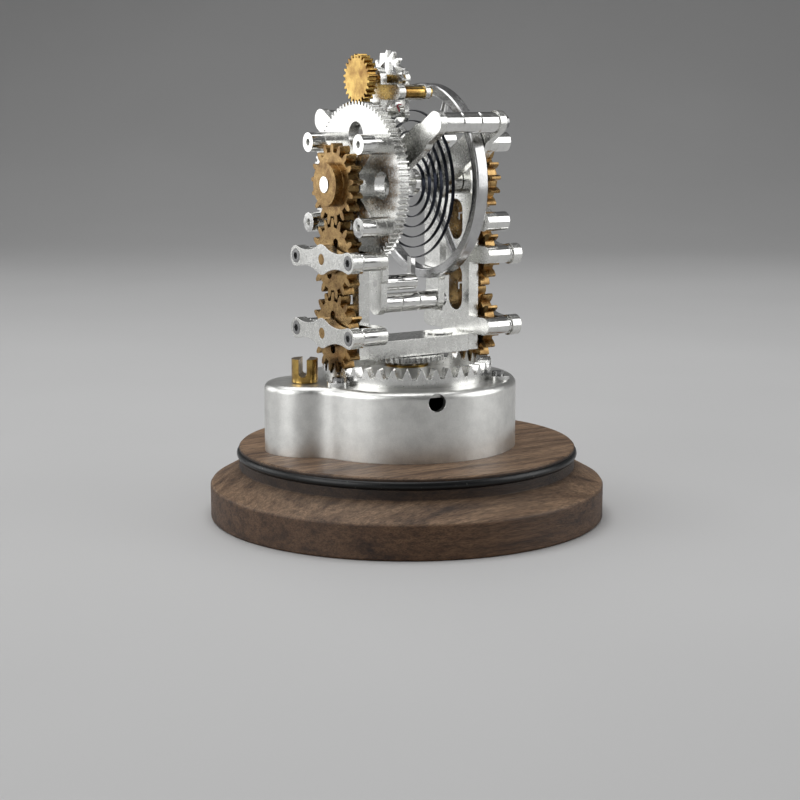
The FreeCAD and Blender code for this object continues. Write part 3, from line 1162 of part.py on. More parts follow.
corners = [(0, -s.pillar_spigot), (s.small_screw_radius, -s.pillar_spigot), (s.small_screw_radius, 0),
           (s.cage_two_pillar, 0)]
for share in (1, 2):
    height = span * share / 3
    corners += [(s.cage_two_pillar, height - groove), (s.cage_two_pillar - groove, height),
                (s.cage_two_pillar, height + groove)]
thread_end = span - s.cage_screw_reach - s.end_gap
corners += [(s.cage_two_pillar, span), (clearance_hole, span), (clearance_hole, thread_end), (0, thread_end)]
cage_pillar_pattern = turned("cage_pillar", corners)
cage_screw_length = s.arm_thickness - s.cage_screw_sink + s.cage_screw_reach
short_pattern = cap_screw("short_screw", cage_screw_length)
pillar_spots = []
screw_spots = []
for angle in arm_angles:
    x, y = around(s.arm_reach, angle)
    pillar_spots.append((RIGHT, left_inner, x, axis_three + y))
    screw_spots.append((RIGHT, right_outer - s.cage_screw_sink - cage_screw_length, x, axis_three + y))
nodes.append(copies("cage_two_pillars", cage_pillar_pattern, pillar_spots))
nodes.append(copies("cage_two_screws", short_pattern, screw_spots))


def trunnion(name, rotation, start, seat, outer_steps):
    """Turned piece: seat in the arm plate, shoulder, bearing and what follows outside."""
    shoulder_end = s.plate_inner - s.end_gap
    item = turned(name, [(0, start), (s.trunnion_radius, start), (s.trunnion_radius, seat), (s.trunnion_shoulder, seat),
                         (s.trunnion_shoulder, shoulder_end), (s.trunnion_radius, shoulder_end)] + outer_steps, rotation)
    return place(item, rotation, z=axis_three)


hub_end = gear_outer + s.upper_hub_length
nodes.append(trunnion("left_trunnion", LEFT, -s.cage_two_left - s.trunnion_depth, -s.cage_two_left, [
    (s.trunnion_radius, hub_end + s.end_gap), (0, hub_end + s.end_gap)]))
collar_start = hub_end + s.end_gap
collar_radius = s.trunnion_radius + s.collar_wall
collar_end = collar_start + s.collar_thickness
nodes.append(trunnion("right_trunnion", RIGHT, right_outer - s.trunnion_depth, right_outer, [
    (s.trunnion_radius, collar_start), (collar_radius, collar_start), (collar_radius, collar_end), (0, collar_end)]))

# Balance, staff, impulse roller, ruby stones and hairspring
rim_inner = s.balance_outer - s.balance_rim
rim = cut("balance_rim_ring", disc("rim_outside", s.balance_outer, s.balance_width),
          [disc("rim_inside", rim_inner, s.balance_width)])
spoke_start = (s.balance_width - s.balance_spoke_thickness) / 2
solids = [rim, disc("balance_hub_disc", s.balance_hub, s.balance_width)]
for number in range(3):
    solids.append(spoke("balance_spoke_%d" % number, s.balance_spoke_angle + 120.0 * number,
                        rim_inner + s.balance_rim / 2, s.balance_spoke_half, s.balance_spoke_thickness, spoke_start))
balance = cut("balance_wheel", fuse("balance_blank", solids), [
    disc("balance_bore", s.balance_staff_radius, s.balance_width)])
nodes.append(place(balance, RIGHT, x=s.balance_middle - s.balance_width / 2, z=axis_three))

staff_start = left_inner - s.pivot_depth
staff_length = span + 2 * s.pivot_depth
pivot_end = s.pivot_depth + s.end_gap
spring_start = s.hairspring_middle - s.hairspring_width / 2
collet_low = spring_start - s.end_gap - staff_start
collet_high = collet_low + s.hairspring_width + 2 * s.end_gap
nodes.append(turned("balance_staff", stack(
    (s.pivot_radius, 0, pivot_end), (s.balance_staff_radius, pivot_end, collet_low),
    (s.collet_radius, collet_low, collet_high), (s.balance_staff_radius, collet_high, staff_length - pivot_end),
    (s.pivot_radius, staff_length - pivot_end, staff_length)), RIGHT, x=staff_start, z=axis_three))
roller_at = s.escape_thickness + s.roller_gap
roller = fuse("impulse_roller", [
    ring("roller_disc", s.roller_radius, s.balance_staff_radius, s.roller_thickness, z=roller_at),
    disc("impulse_pin_rod", s.impulse_pin, roller_at + s.roller_thickness, y=s.impulse_circle)])
nodes.append(place(roller, RIGHT, x=s.escape_left, z=axis_three))
stone = ring("bearing_stone", s.jewel_radius, pivot_bore, s.jewel_thickness)
nodes.append(copies("balance_jewels", stone, [
    (RIGHT, left_inner - s.jewel_thickness, 0, axis_three), (RIGHT, s.cage_two_right, 0, axis_three)]))

hairspring_start = float(s.collet_radius + s.end_gap + s.hairspring_thickness / 2)
half_turns = round(2 * float(s.hairspring_turns))
hairspring_end = hairspring_start + (half_turns - 1) * s.hairspring_pitch / 2
measured_gap("hairspring", hairspring_start, float(s.hairspring_pitch), half_turns, float(s.hairspring_thickness))
nodes.append(flat("hairspring", [spiral(hairspring_start, float(s.hairspring_pitch), half_turns,
                                        float(s.hairspring_thickness))], s.hairspring_width, RIGHT,
                  x=spring_start, z=axis_three))
stud_top = spring_start + s.hairspring_width + s.end_gap - left_inner
clamp_height = s.hairspring_width + 2 * s.end_gap
clamp_end = hairspring_end - s.hairspring_thickness / 2
stud = fuse("hairspring_stud", [
    disc("stud_rod", s.stud_radius, stud_top, y=-s.stud_reach),
    disc("stud_foot", s.small_screw_radius, s.arm_thickness, y=-s.stud_reach, z=-s.arm_thickness),
    block("stud_clamp", s.stud_block, s.stud_reach - clamp_end, clamp_height, -s.stud_block / 2, -s.stud_reach,
          stud_top - clamp_height)])
nodes.append(place(stud, RIGHT, x=left_inner, z=axis_three))

# Escape wheel and its arbor, pallet fork with stones, cock and cock posts
escape_teeth = round(float(s.escape_teeth))


def escape_outlines():
    """Pointed teeth that lean forward, on a rim with four windows."""
    tip = float(s.escape_tip)
    root = 0.74 * tip
    step = 360.0 / escape_teeth
    points = []
    for number in range(escape_teeth):
        turn = number * step
        points += [polar(root, turn), polar(0.93 * tip, turn + 0.46 * step), polar(tip, turn + 0.62 * step),
                   polar(0.97 * tip, turn + 0.8 * step), polar(root, turn + 0.74 * step)]
    outlines = [closed([line(points[i - 1], points[i]) for i in range(len(points))])]
    inner, outer = 0.34 * tip, 0.6 * tip
    for number in range(4):
        middle = 90.0 * number + 45.0
        outlines.append(closed([
            arc(polar(outer, middle - 31), polar(outer, middle), polar(outer, middle + 31)),
            line(polar(outer, middle + 31), polar(inner, middle + 19)),
            arc(polar(inner, middle + 19), polar(inner, middle), polar(inner, middle - 19)),
            line(polar(inner, middle - 19), polar(outer, middle - 31))]))
    outlines.append(circle(s.escape_arbor_radius))
    return outlines


escape_height = axis_three + escape_reach
nodes.append(flat("escape_wheel", escape_outlines(), s.escape_thickness, RIGHT, x=s.escape_left, z=escape_height))
escape_pinion_first = 270.0 + 180.0 / float(s.escape_pinion_teeth)
escape_start = s.end_gap - s.plate_inner
arbor_length = s.cock_left - escape_start - s.end_gap
escape_arbor = fuse("escape_arbor", [
    fine_gear("escape_pinion", s.escape_pinion_teeth, s.fixed_module, escape_pinion_first,
              s.fixed_thickness - 2 * s.end_gap, 0),
    turned("escape_shaft", stack((s.escape_arbor_radius, 0, arbor_length),
                                 (s.pivot_radius, arbor_length, arbor_length + s.end_gap + s.pivot_depth)))])
nodes.append(place(escape_arbor, RIGHT, x=escape_start, z=escape_height))

# The stones point at the escape wheel's axis from below, one clearance outside its tips
pallet_height = axis_three + pallet_reach
stone_reach = s.escape_tip + s.pallet_lift
stones = []
slots = []
for side in (1, -1):
    heading = -90.0 + side * float(s.pallet_angle)
    swing = side * s.pallet_angle
    for target, word in ((stones, "stone"), (slots, "stone_slot")):
        item = block("pallet_%s_%d" % (word, side + 2), s.pallet_stone_length, 2 * s.pallet_stone_half, s.escape_thickness)
        target.append(place(item, FreeCAD.Rotation(Z_AXIS, heading),
                            stone_reach * sine(swing) - s.pallet_stone_half * cosine(swing),
                            pallet_distance - stone_reach * cosine(swing) - s.pallet_stone_half * sine(swing)))
horn_end = pallet_reach - s.impulse_circle - s.impulse_pin - s.fork_gap
lever_length = horn_end - s.fork_length / 2
solids = [disc("pallet_hub", s.pallet_hub, s.escape_thickness),
          block("pallet_lever", 2 * s.lever_half_width, lever_length, s.escape_thickness, -s.lever_half_width,
                -lever_length),
          block("pallet_horns", 2 * s.fork_half, s.fork_length, s.escape_thickness, -s.fork_half, -horn_end)]
for side in (1, -1):
    solids.append(flat("pallet_arm_%d" % (side + 2), [
        tapered((0, 0), (side * s.pallet_arm_reach, s.pallet_arm_lift), float(s.pallet_arm_start),
                float(s.pallet_arm_end))], s.escape_thickness))
cuts = slots + [block("fork_slot", 2 * s.fork_slot_half, s.fork_slot_depth, s.escape_thickness, -s.fork_slot_half,
                      -horn_end)]
lever = cut("pallet_lever_cut", fuse("pallet_blank", solids), cuts)
pallet_arbor_length = s.cock_left - left_inner + 2 * s.pivot_depth
pallet_arbor = turned("pallet_arbor", stack(
    (s.pivot_radius, 0, pivot_end), (s.pallet_arbor_radius, pivot_end, pallet_arbor_length - pivot_end),
    (s.pivot_radius, pallet_arbor_length - pivot_end, pallet_arbor_length)))
place(pallet_arbor, z=left_inner - s.pivot_depth - s.escape_left)
nodes.append(place(fuse("pallet_fork", [lever, pallet_arbor]), RIGHT, x=s.escape_left, z=pallet_height))
nodes.append(place(group("pallet_stones", stones), RIGHT, x=s.escape_left, z=pallet_height))

cock_solids = [stadium("cock_bar", s.cock_post_spread, s.cross_bar_half, s.cock_thickness, s.cock_post_reach),
               disc("cock_top", s.cock_top_radius, s.cock_thickness, y=escape_reach),
               disc("cock_low", s.cock_low_radius, s.cock_thickness, y=pallet_reach),
               block("cock_web", 2 * s.cock_web_half, escape_reach - pallet_reach, s.cock_thickness,
                     -s.cock_web_half, pallet_reach)]
cock_cuts = [disc("cock_escape_pivot", pivot_bore, s.cock_thickness, y=escape_reach),
             disc("cock_pallet_pivot", pivot_bore, s.cock_thickness, y=pallet_reach)]
post_spots = [(side * s.cock_post_spread, s.cock_post_reach) for side in (1, -1)]
for number, (x, y) in enumerate(post_spots):
    cock_cuts.append(disc("cock_screw_hole_%d" % number, s.small_screw_radius, s.cock_thickness, x, y))
cock = cut("escapement_cock", fuse("cock_blank", cock_solids), cock_cuts)
nodes.append(place(cock, RIGHT, x=s.cock_left, z=axis_three))
post_length = s.cock_left - left_inner
post_neck_end = post_length + s.cock_thickness
cock_post_pattern = turned("cock_post", stack(
    (s.cock_post_radius, 0, post_length), (s.small_screw_radius, post_length, post_neck_end),
    (s.cock_post_radius, post_neck_end, post_neck_end + s.cock_post_head)))
nodes.append(copies("cock_posts", cock_post_pattern, [(RIGHT, left_inner, x, axis_three + y) for x, y in post_spots]))

doc.recompute()

for item in nodes:
    item.Label = item.Name

failed = [item.Name for item in doc.Objects if {"Invalid", "Error"} & set(item.State)]
if failed:
    raise RuntimeError("objects not built: " + ", ".join(failed))
for item in nodes:
    if item.Shape.isNull() or not item.Shape.isValid():
        raise RuntimeError(item.Label + " has no valid shape")

os.makedirs("parts", exist_ok=True)
for item in nodes:
    item.Shape.exportStep("parts/%s.step" % item.Label)
print(len(nodes), "sub-parts written")
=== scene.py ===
# %% [markdown]
# A desk clock movement with two nested turning cages. The outer cage stands on a round metal
# casing and rolls its geared towers over a fixed crown gear; the inner cage carries the
# balance. Every rigid part comes from the CAD frame. This lesson gives those parts their
# finishes, adds the fine pieces that the frame keeps plain, and sets up the studio.

# %% Load the CAD frame
import math

import bmesh
import bpy
import numpy as np
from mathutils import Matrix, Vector


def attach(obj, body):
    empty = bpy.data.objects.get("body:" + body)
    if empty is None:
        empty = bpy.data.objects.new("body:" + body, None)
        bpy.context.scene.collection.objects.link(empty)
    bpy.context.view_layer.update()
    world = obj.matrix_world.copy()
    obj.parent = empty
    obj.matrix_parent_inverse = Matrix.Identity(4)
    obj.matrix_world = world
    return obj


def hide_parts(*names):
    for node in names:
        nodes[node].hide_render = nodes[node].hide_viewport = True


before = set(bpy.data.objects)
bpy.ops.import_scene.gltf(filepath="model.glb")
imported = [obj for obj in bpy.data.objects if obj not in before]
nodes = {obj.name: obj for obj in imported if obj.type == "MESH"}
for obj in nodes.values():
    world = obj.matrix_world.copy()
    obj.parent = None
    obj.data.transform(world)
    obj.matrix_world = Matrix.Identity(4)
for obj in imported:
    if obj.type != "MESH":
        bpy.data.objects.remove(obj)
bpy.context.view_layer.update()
MM = 0.001

# %% [markdown]
# The camera stands low in front of the left tower, as in the photograph. Its place comes from
# fitting the two circles of the wooden base and the axes of the gears. A lens of 79 mm on a
# 36 mm frame gives the same flat perspective.

# %% The camera
CAMERA_PLACE = Vector((-365.17, -551.52, 160.28)) * MM
CAMERA_TURN = math.radians(33.286)
CAMERA_DIP = 0.175
LENS_MM = 79.19


def add_camera():
    """Look along (sin turn, cos turn) on the floor plan and a little downwards."""
    data = bpy.data.cameras.new("camera")
    data.lens = LENS_MM
    data.sensor_width = 36.0
    data.clip_start = 0.01
    camera = bpy.data.objects.new("camera", data)
    bpy.context.scene.collection.objects.link(camera)
    ahead = Vector((math.sin(CAMERA_TURN) * math.cos(CAMERA_DIP),
                    math.cos(CAMERA_TURN) * math.cos(CAMERA_DIP), -math.sin(CAMERA_DIP)))
    camera.location = CAMERA_PLACE
    camera.rotation_euler = ahead.to_track_quat("-Z", "Y").to_euler()
    bpy.context.scene.camera = camera
    return camera


add_camera()
print("camera is", round(CAMERA_PLACE.length, 3), "m from the base")

# %% [markdown]
# The studio is a pale sweep: a floor that curves up into a backdrop, so no horizon line
# shows. The photograph is lit by wide soft boxes from above and from both sides, and the
# camera side stays darker. That is why the casing has two bright bands with a grey one
# between, and why the wooden edge is darker than the wooden top. The same light is built
# from area lamps, and the world stays a plain grey.

# %% The floor and the backdrop
SWEEP_FRONT = 2.2
SWEEP_BACK = 1.1
SWEEP_RADIUS = 0.9
SWEEP_HEIGHT = 2.4
SWEEP_HALF_WIDTH = 3.2


def link(mesh, name):
    """A mesh becomes an object at the origin."""
    item = bpy.data.objects.new(name, mesh)
    bpy.context.scene.collection.objects.link(item)
    return item


def surface(name, grid):
    """A smooth sheet from a grid of points, shape (rows, columns, 3) in metres.

    Each point is joined to its neighbours in the next row and the next column.
    """
    rows, columns = grid.shape[:2]
    index = np.arange(rows * columns).reshape(rows, columns)
    faces = np.stack([index[:-1, :-1], index[:-1, 1:], index[1:, 1:], index[1:, :-1]], axis=-1).reshape(-1, 4)
    mesh = bpy.data.meshes.new(name)
    mesh.from_pydata(grid.reshape(-1, 3).tolist(), [], faces.tolist())
    mesh.update()
    mesh.polygons.foreach_set("use_smooth", np.full(len(mesh.polygons), True))
    return link(mesh, name)


def sweep_profile(samples=24):
    """Floor line, a quarter circle of the sweep radius, then the upright backdrop."""
    turn = np.linspace(-math.pi / 2, 0, samples)
    bend = np.stack([SWEEP_BACK + SWEEP_RADIUS * np.cos(turn), SWEEP_RADIUS + SWEEP_RADIUS * np.sin(turn)], axis=1)
    return np.vstack([[-SWEEP_FRONT, 0.0], bend, [SWEEP_BACK + SWEEP_RADIUS, SWEEP_HEIGHT]])


def add_sweep():
    """The profile is carried sideways across the view; its depth runs along the view."""
    profile = sweep_profile()
    ahead = np.array([math.sin(CAMERA_TURN), math.cos(CAMERA_TURN), 0.0])
    side = np.array([math.cos(CAMERA_TURN), -math.sin(CAMERA_TURN), 0.0])
    across = np.linspace(-SWEEP_HALF_WIDTH, SWEEP_HALF_WIDTH, 9)
    grid = (profile[:, None, 0:1] * ahead + across[None, :, None] * side
            + profile[:, None, 1:2] * np.array([0.0, 0.0, 1.0]))
    return surface("sweep", grid[:, ::-1])


sweep = add_sweep()
print("sweep has", len(sweep.data.polygons), "faces")

# %% [markdown]
# A soft box is a lamp behind white cloth. Three of them light everything: a wide one above
# and a little behind, and two weak ones at the sides. Three more act like white cards: they
# show only in the shine of the metal, so pillars and plates get their bright stripes while
# the wood and the paper keep their darker sides.

# %% The lamps and the world
LAMPS = (
    # name, place in metres, size in metres, power in watts, also lights matt surfaces
    ("top", (-0.05, 0.20, 1.25), (1.3, 1.1), 12.0, True),
    ("left", (-1.20, -0.05, 0.55), (1.0, 1.1), 2.5, True),
    ("left_card", (-1.20, -0.05, 0.50), (1.0, 1.1), 7.5, False),
    ("right", (0.95, -0.70, 0.55), (0.9, 1.1), 2.5, True),
    ("right_card", (0.95, -0.70, 0.50), (0.9, 1.1), 6.0, False),
    ("back_card", (-0.85, 1.10, 0.45), (0.9, 0.9), 5.0, False),
)
AIM = Vector((0.0, 0.0, 0.08))
WORLD_GREY = 0.13


def add_lamp(name, place, size, power, lights_matt):
    """A soft box: a rectangle of light that faces the model.

    A card only shows in the reflections of metal, as a white board beside the object does.
    """
    data = bpy.data.lights.new("lamp_" + name, "AREA")
    data.shape = "RECTANGLE"
    data.size, data.size_y = size
    data.energy = power
    lamp = bpy.data.objects.new("lamp_" + name, data)
    bpy.context.scene.collection.objects.link(lamp)
    lamp.location = place
    lamp.rotation_euler = (AIM - Vector(place)).to_track_quat("-Z", "Y").to_euler()
    lamp.visible_diffuse = lights_matt
    return lamp


for lamp_row in LAMPS:
    add_lamp(*lamp_row)
world = bpy.data.worlds.new("studio")
bpy.context.scene.world = world
world.use_nodes = True
world.node_tree.nodes["Background"].inputs["Color"].default_value = (WORLD_GREY, WORLD_GREY, WORLD_GREY, 1.0)
bpy.context.scene.view_settings.view_transform = "Standard"
print("lamps", len(LAMPS), "total", sum(row[3] for row in LAMPS), "W")

# %% [markdown]
# Every finish is a small tree of shader nodes. They read Object coordinates, so a pattern
# sticks to its part when the part turns. A few helpers keep the trees short: one makes a
# node and sets its sockets, one makes a new material, one gives noise, one mixes two
# colours by a factor, and one turns a height into a bump.

# %% Helpers for materials
class Finish:
    """A material with one shader; each method adds one node and returns its output."""

    def __init__(self, name, **sockets):
        self.material = bpy.data.materials.new(name)
        self.material.use_nodes = True
        self.tree = self.material.node_tree
        self.shader = self.tree.nodes["Principled BSDF"]
        for socket, value in sockets.items():
            self.shader.inputs[socket.replace("_", " ")].default_value = value
        self.place = self.add("ShaderNodeTexCoord").outputs["Object"]

    def add(self, kind, links=None, **values):
        """A node of this kind: links feed its sockets, values set its properties."""
        item = self.tree.nodes.new(kind)
        for name, value in values.items():
            setattr(item, name, value)
        for socket, source in (links or {}).items():
            if isinstance(source, bpy.types.NodeSocket):
                self.tree.links.new(source, item.inputs[socket])
            else:
                item.inputs[socket].default_value = source
        return item

    def mapped(self, scale=(1, 1, 1), turn=(0, 0, 0)):
        """Object coordinates, turned and stretched."""
        item = self.add("ShaderNodeMapping", {"Vector": self.place, "Scale": scale, "Rotation": turn})
        return item.outputs["Vector"]

    def noise(self, scale, detail=3.0, roughness=0.5, source=None):
        """Cloudy grey values; a larger scale gives smaller clouds."""
        item = self.add("ShaderNodeTexNoise", {"Vector": source or self.place, "Scale": scale, "Detail": detail,
                                               "Roughness": roughness})
        return item.outputs["Fac"]

    def ramp(self, source, stops):
        """A colour or grey for each value of source; stops are (position, colour)."""
        item = self.add("ShaderNodeValToRGB", {"Fac": source})
        ends = item.color_ramp.elements
        while len(ends) < len(stops):
            ends.new(0.5)
        for end, (position, colour) in zip(ends, stops):
            end.position = position
            grey = (colour,) * 3 if isinstance(colour, float) else colour
            end.color = (*grey, 1.0)
        return item.outputs["Color"]

    def mix(self, factor, first, second, blend="MIX"):
        """One colour laid over another by a factor."""
        item = self.add("ShaderNodeMix", data_type="RGBA", blend_type=blend)
        for socket, source in ((item.inputs[0], factor), (item.inputs[6], first), (item.inputs[7], second)):
            if isinstance(source, bpy.types.NodeSocket):
                self.tree.links.new(source, socket)
            elif isinstance(source, tuple):
                socket.default_value = (*source, 1.0)
            else:
                socket.default_value = source
        return item.outputs[2]

    def level(self, source, low, high, from_low=0.3, from_high=0.7):
        """A value moved from one range to another."""
        item = self.add("ShaderNodeMapRange", {"Value": source, "From Min": from_low, "From Max": from_high,
                                               "To Min": low, "To Max": high})
        return item.outputs["Result"]

    def use(self, **sources):
        """Feed sockets of the shader."""
        for socket, source in sources.items():
            self.tree.links.new(source, self.shader.inputs[socket.replace("_", " ")])

    def bump(self, height, depth, normal=None):
        """A height between 0 and 1 stands for this depth in metres."""
        links = {"Height": height, "Distance": depth, "Strength": 1.0}
        if normal is not None:
            links["Normal"] = normal
        item = self.add("ShaderNodeBump", links)
        self.use(Normal=item.outputs["Normal"])

    def rounded(self, radius):
        """Edges look broken: the normal turns smoothly within this radius in metres."""
        return self.add("ShaderNodeBevel", {"Radius": radius}, samples=4).outputs["Normal"]


def dress(finish, *names):
    """Give a finish to CAD parts by their material slots."""
    for name in names:
        part = nodes[name]
        part.data.materials.clear()
        part.data.materials.append(finish.material)
    print(finish.material.name, "on", len(names), "parts")


# %% [markdown]
# The sweep is matt grey paper. Round the base it is pale, and painted shade turns it to a
# darker grey far behind, which is also why level metal tops look darker than upright faces.
# The painted shade follows the distance along the view, measured on the paper itself.

# %% The sweep is matt grey paper
PAPER_NEAR = 0.60
PAPER_FAR = 0.46
FALL_START = 0.8
FALL_END = 2.2

paper = Finish("backdrop_paper", Roughness=0.95)
depth = paper.add("ShaderNodeVectorMath", {0: paper.place, 1: (math.sin(CAMERA_TURN), math.cos(CAMERA_TURN), 0.6)},
                  operation="DOT_PRODUCT").outputs["Value"]
# painted shade: the paper's grey falls from the near value to the far value along the view
paper_painted_shade = paper.level(depth, PAPER_NEAR, PAPER_FAR, FALL_START, FALL_END)
paper_fleck = paper.level(paper.noise(3.0), 0.97, 1.03)
paper_tone = paper.add("ShaderNodeMath", {0: paper_painted_shade, 1: paper_fleck}, operation="MULTIPLY").outputs[0]
paper.use(Base_Color=paper.add("ShaderNodeCombineColor", {0: paper_tone, 1: paper_tone, 2: paper_tone}).outputs[0])
sweep.data.materials.append(paper.material)
print("paper grey from", PAPER_NEAR, "to", PAPER_FAR)

# %% [markdown]
# Walnut is brown with long darker growth lines. The plank of the base runs along the X axis:
# its growth lines show as streaks on the top and on the front edge, and as dots and short
# strokes where the grain ends at the left and right. So every pattern is stretched along X.
# Three layers make it: broad growth bands, narrow lines inside them, and fine fibres with
# short dark pores. Painted shade makes the upright edges darker and redder, and a painted
# shadow makes the groove under the ring darkest.

# %% Walnut
GRAIN_TURN = math.radians(-12)
WALNUT_DARK = (0.085, 0.048, 0.030)
WALNUT_MID = (0.205, 0.122, 0.070)
WALNUT_LIGHT = (0.34, 0.215, 0.128)
# painted shade: a darker, redder colour on the upright edges and a painted shadow in the groove under the ring
EDGE_PAINTED_SHADE = (0.52, 0.44, 0.38)
GROOVE_PAINTED_SHADOW = (0.20, 0.17, 0.15)
BASE_HEIGHTS = {"foot": 12.5, "slope": 13.0, "neck": 18.6, "groove": 19.2, "rim": 26.2, "top": 26.8}
BASE_TOP = 27.0


def painted_edge_shade(wood):
    """Painted shade by height: a dark foot edge, the slope darkening towards the neck, a painted shadow on the neck
    under the ring, a clean top.
    """
    height = wood.add("ShaderNodeSeparateXYZ", {0: wood.place}).outputs["Z"]
    share = wood.level(height, 0.0, 1.0, 0.0, BASE_TOP * MM)
    at = {word: value / BASE_TOP for word, value in BASE_HEIGHTS.items()}
    return wood.ramp(share, ((0.0, EDGE_PAINTED_SHADE), (at["foot"], EDGE_PAINTED_SHADE), (at["slope"], 1.0), (at["neck"], 0.7),
                             (at["groove"], GROOVE_PAINTED_SHADOW), (at["rim"], GROOVE_PAINTED_SHADOW), (at["top"], 1.0)))


def walnut_finish():
    """Growth bands, narrow lines, fibres and pores, all stretched along the plank."""
    wood = Finish("walnut", Roughness=0.5, Specular_IOR_Level=0.35)

    def plank(stretch):
        return wood.mapped(scale=(1 / stretch, 1, 1.5), turn=(0.05, 0, GRAIN_TURN))

    drift = wood.level(wood.noise(8.0, detail=2.0, source=plank(5.0)), -0.006, 0.006, 0.0, 1.0)
    wander = wood.add("ShaderNodeCombineXYZ", {"Y": drift, "Z": drift}).outputs[0]
    warped = wood.add("ShaderNodeVectorMath", {0: plank(11.0), 1: wander}, operation="ADD").outputs[0]
    bands = wood.noise(150.0, detail=4.0, roughness=0.6, source=warped)
    lines = wood.noise(700.0, detail=3.0, roughness=0.6, source=warped)
    fibres = wood.noise(2100.0, detail=2.0, roughness=0.6, source=plank(9.0))
    pores = wood.add("ShaderNodeTexVoronoi", {"Vector": plank(7.0), "Scale": 1500.0}, feature="F1").outputs["Distance"]
    colour = wood.ramp(bands, ((0.28, WALNUT_DARK), (0.42, WALNUT_MID), (0.58, WALNUT_LIGHT), (0.75, WALNUT_MID)))
    line_shade = wood.ramp(lines, ((0.32, 0.50), (0.58, 1.05)))
    fibre_shade = wood.ramp(fibres, ((0.30, 0.55), (0.65, 1.10)))
    pore_shade = wood.ramp(pores, ((0.12, 0.35), (0.34, 1.0)))
    # the last layer is painted shade by height on the edges and painted shadow in the groove under the ring
    for shade, amount in ((line_shade, 0.85), (fibre_shade, 0.9), (pore_shade, 0.7), (painted_edge_shade(wood), 1.0)):
        colour = wood.mix(amount, colour, shade, "MULTIPLY")
    wood.use(Base_Color=colour, Roughness=wood.level(fibres, 0.64, 0.48))
    wood.bump(wood.mix(0.5, fibre_shade, pore_shade), 0.00014, normal=wood.rounded(0.0005))
    return wood


dress(walnut_finish(), "wood_base")

# %% [markdown]
# The ring round the neck is a black rubber cord. It is almost smooth, with a soft sheen and
# a few specks of dust.

# %% Black rubber
def rubber_finish():
    """Nearly black, with fine bumps and pale dust specks."""
    rubber = Finish("black_rubber", Roughness=0.36, Specular_IOR_Level=0.35)
    grain = rubber.noise(1400.0, detail=2.0)
    specks = rubber.ramp(rubber.noise(900.0, detail=1.0), ((0.72, 0.0), (0.79, 1.0)))
    rubber.use(Base_Color=rubber.mix(specks, (0.004, 0.0045, 0.005), (0.09, 0.09, 0.085)),
               Roughness=rubber.level(grain, 0.28, 0.40))
    rubber.bump(grain, 0.00003)
    return rubber


dress(rubber_finish(), "dome_o_ring")

# %% [markdown]
# The casing is aluminium with a fine blasted skin: grey, satin, with a tiny sparkle of
# grains about a fifth of a millimetre wide. The other metals differ in colour, in how sharp
# they reflect, and in the marks of their making. One function makes them all. Every metal
# gets fine grains, and the brasses get brown clouds.

# %% One function for all metals
def metal(name, colour, rough, grain_scale=2600.0, grain_depth=0.000012, stretch=(1, 1, 1), cloud=None,
          cloud_scale=180.0, edge=0.00022, rough_range=0.07):
    """Metal with grain bumps; cloud is a second colour in soft patches; edge breaks the corners."""
    finish = Finish(name, Metallic=1.0, Roughness=rough)
    grain_place = finish.mapped(scale=stretch)
    grain = finish.noise(grain_scale, detail=2.0, source=grain_place)
    patches = finish.noise(cloud_scale, detail=4.0, roughness=0.6)
    shade = cloud if cloud else tuple(0.86 * part for part in colour)
    tint = finish.mix(finish.level(patches, 0.0, 1.0, 0.38, 0.66), colour, shade)
    tint = finish.mix(0.4, tint, finish.ramp(grain, ((0.25, 0.72), (0.7, 1.0))), "MULTIPLY")
    wear = finish.noise(grain_scale / 3, source=grain_place)
    finish.use(Base_Color=tint, Roughness=finish.level(wear, rough - rough_range, rough + rough_range, 0.25, 0.75))
    finish.bump(grain, grain_depth, normal=finish.rounded(edge))
    return finish


satin_aluminium = metal("satin_aluminium", (0.80, 0.80, 0.775), 0.36, grain_scale=3200.0, grain_depth=0.00002,
                        edge=0.0004)
plain_aluminium = metal("plain_aluminium", (0.60, 0.60, 0.60), 0.35)
cut_steel = metal("cut_steel", (0.80, 0.80, 0.78), 0.24, edge=0.00018)
satin_steel = metal("satin_steel", (0.86, 0.86, 0.83), 0.24, grain_scale=2400.0, edge=0.0003)
bright_steel = metal("bright_steel", (0.88, 0.88, 0.86), 0.12, grain_scale=1500.0, grain_depth=0.000004, edge=0.00015)
screw_steel = metal("screw_steel", (0.36, 0.36, 0.36), 0.25, grain_scale=1800.0, edge=0.0001)
gear_brass = metal("gear_brass", (0.42, 0.275, 0.115), 0.30, cloud=(0.20, 0.115, 0.045), cloud_scale=260.0,
                   grain_depth=0.00001, edge=0.00025, rough_range=0.1)
plain_brass = metal("plain_brass", (0.62, 0.42, 0.13), 0.20, cloud=(0.22, 0.115, 0.03), cloud_scale=130.0,
                    edge=0.0002)
spring_steel = metal("spring_steel", (0.030, 0.034, 0.046), 0.3, edge=0.00005)
balance_steel = metal("balance_steel", (0.60, 0.60, 0.60), 0.2, edge=0.0003)

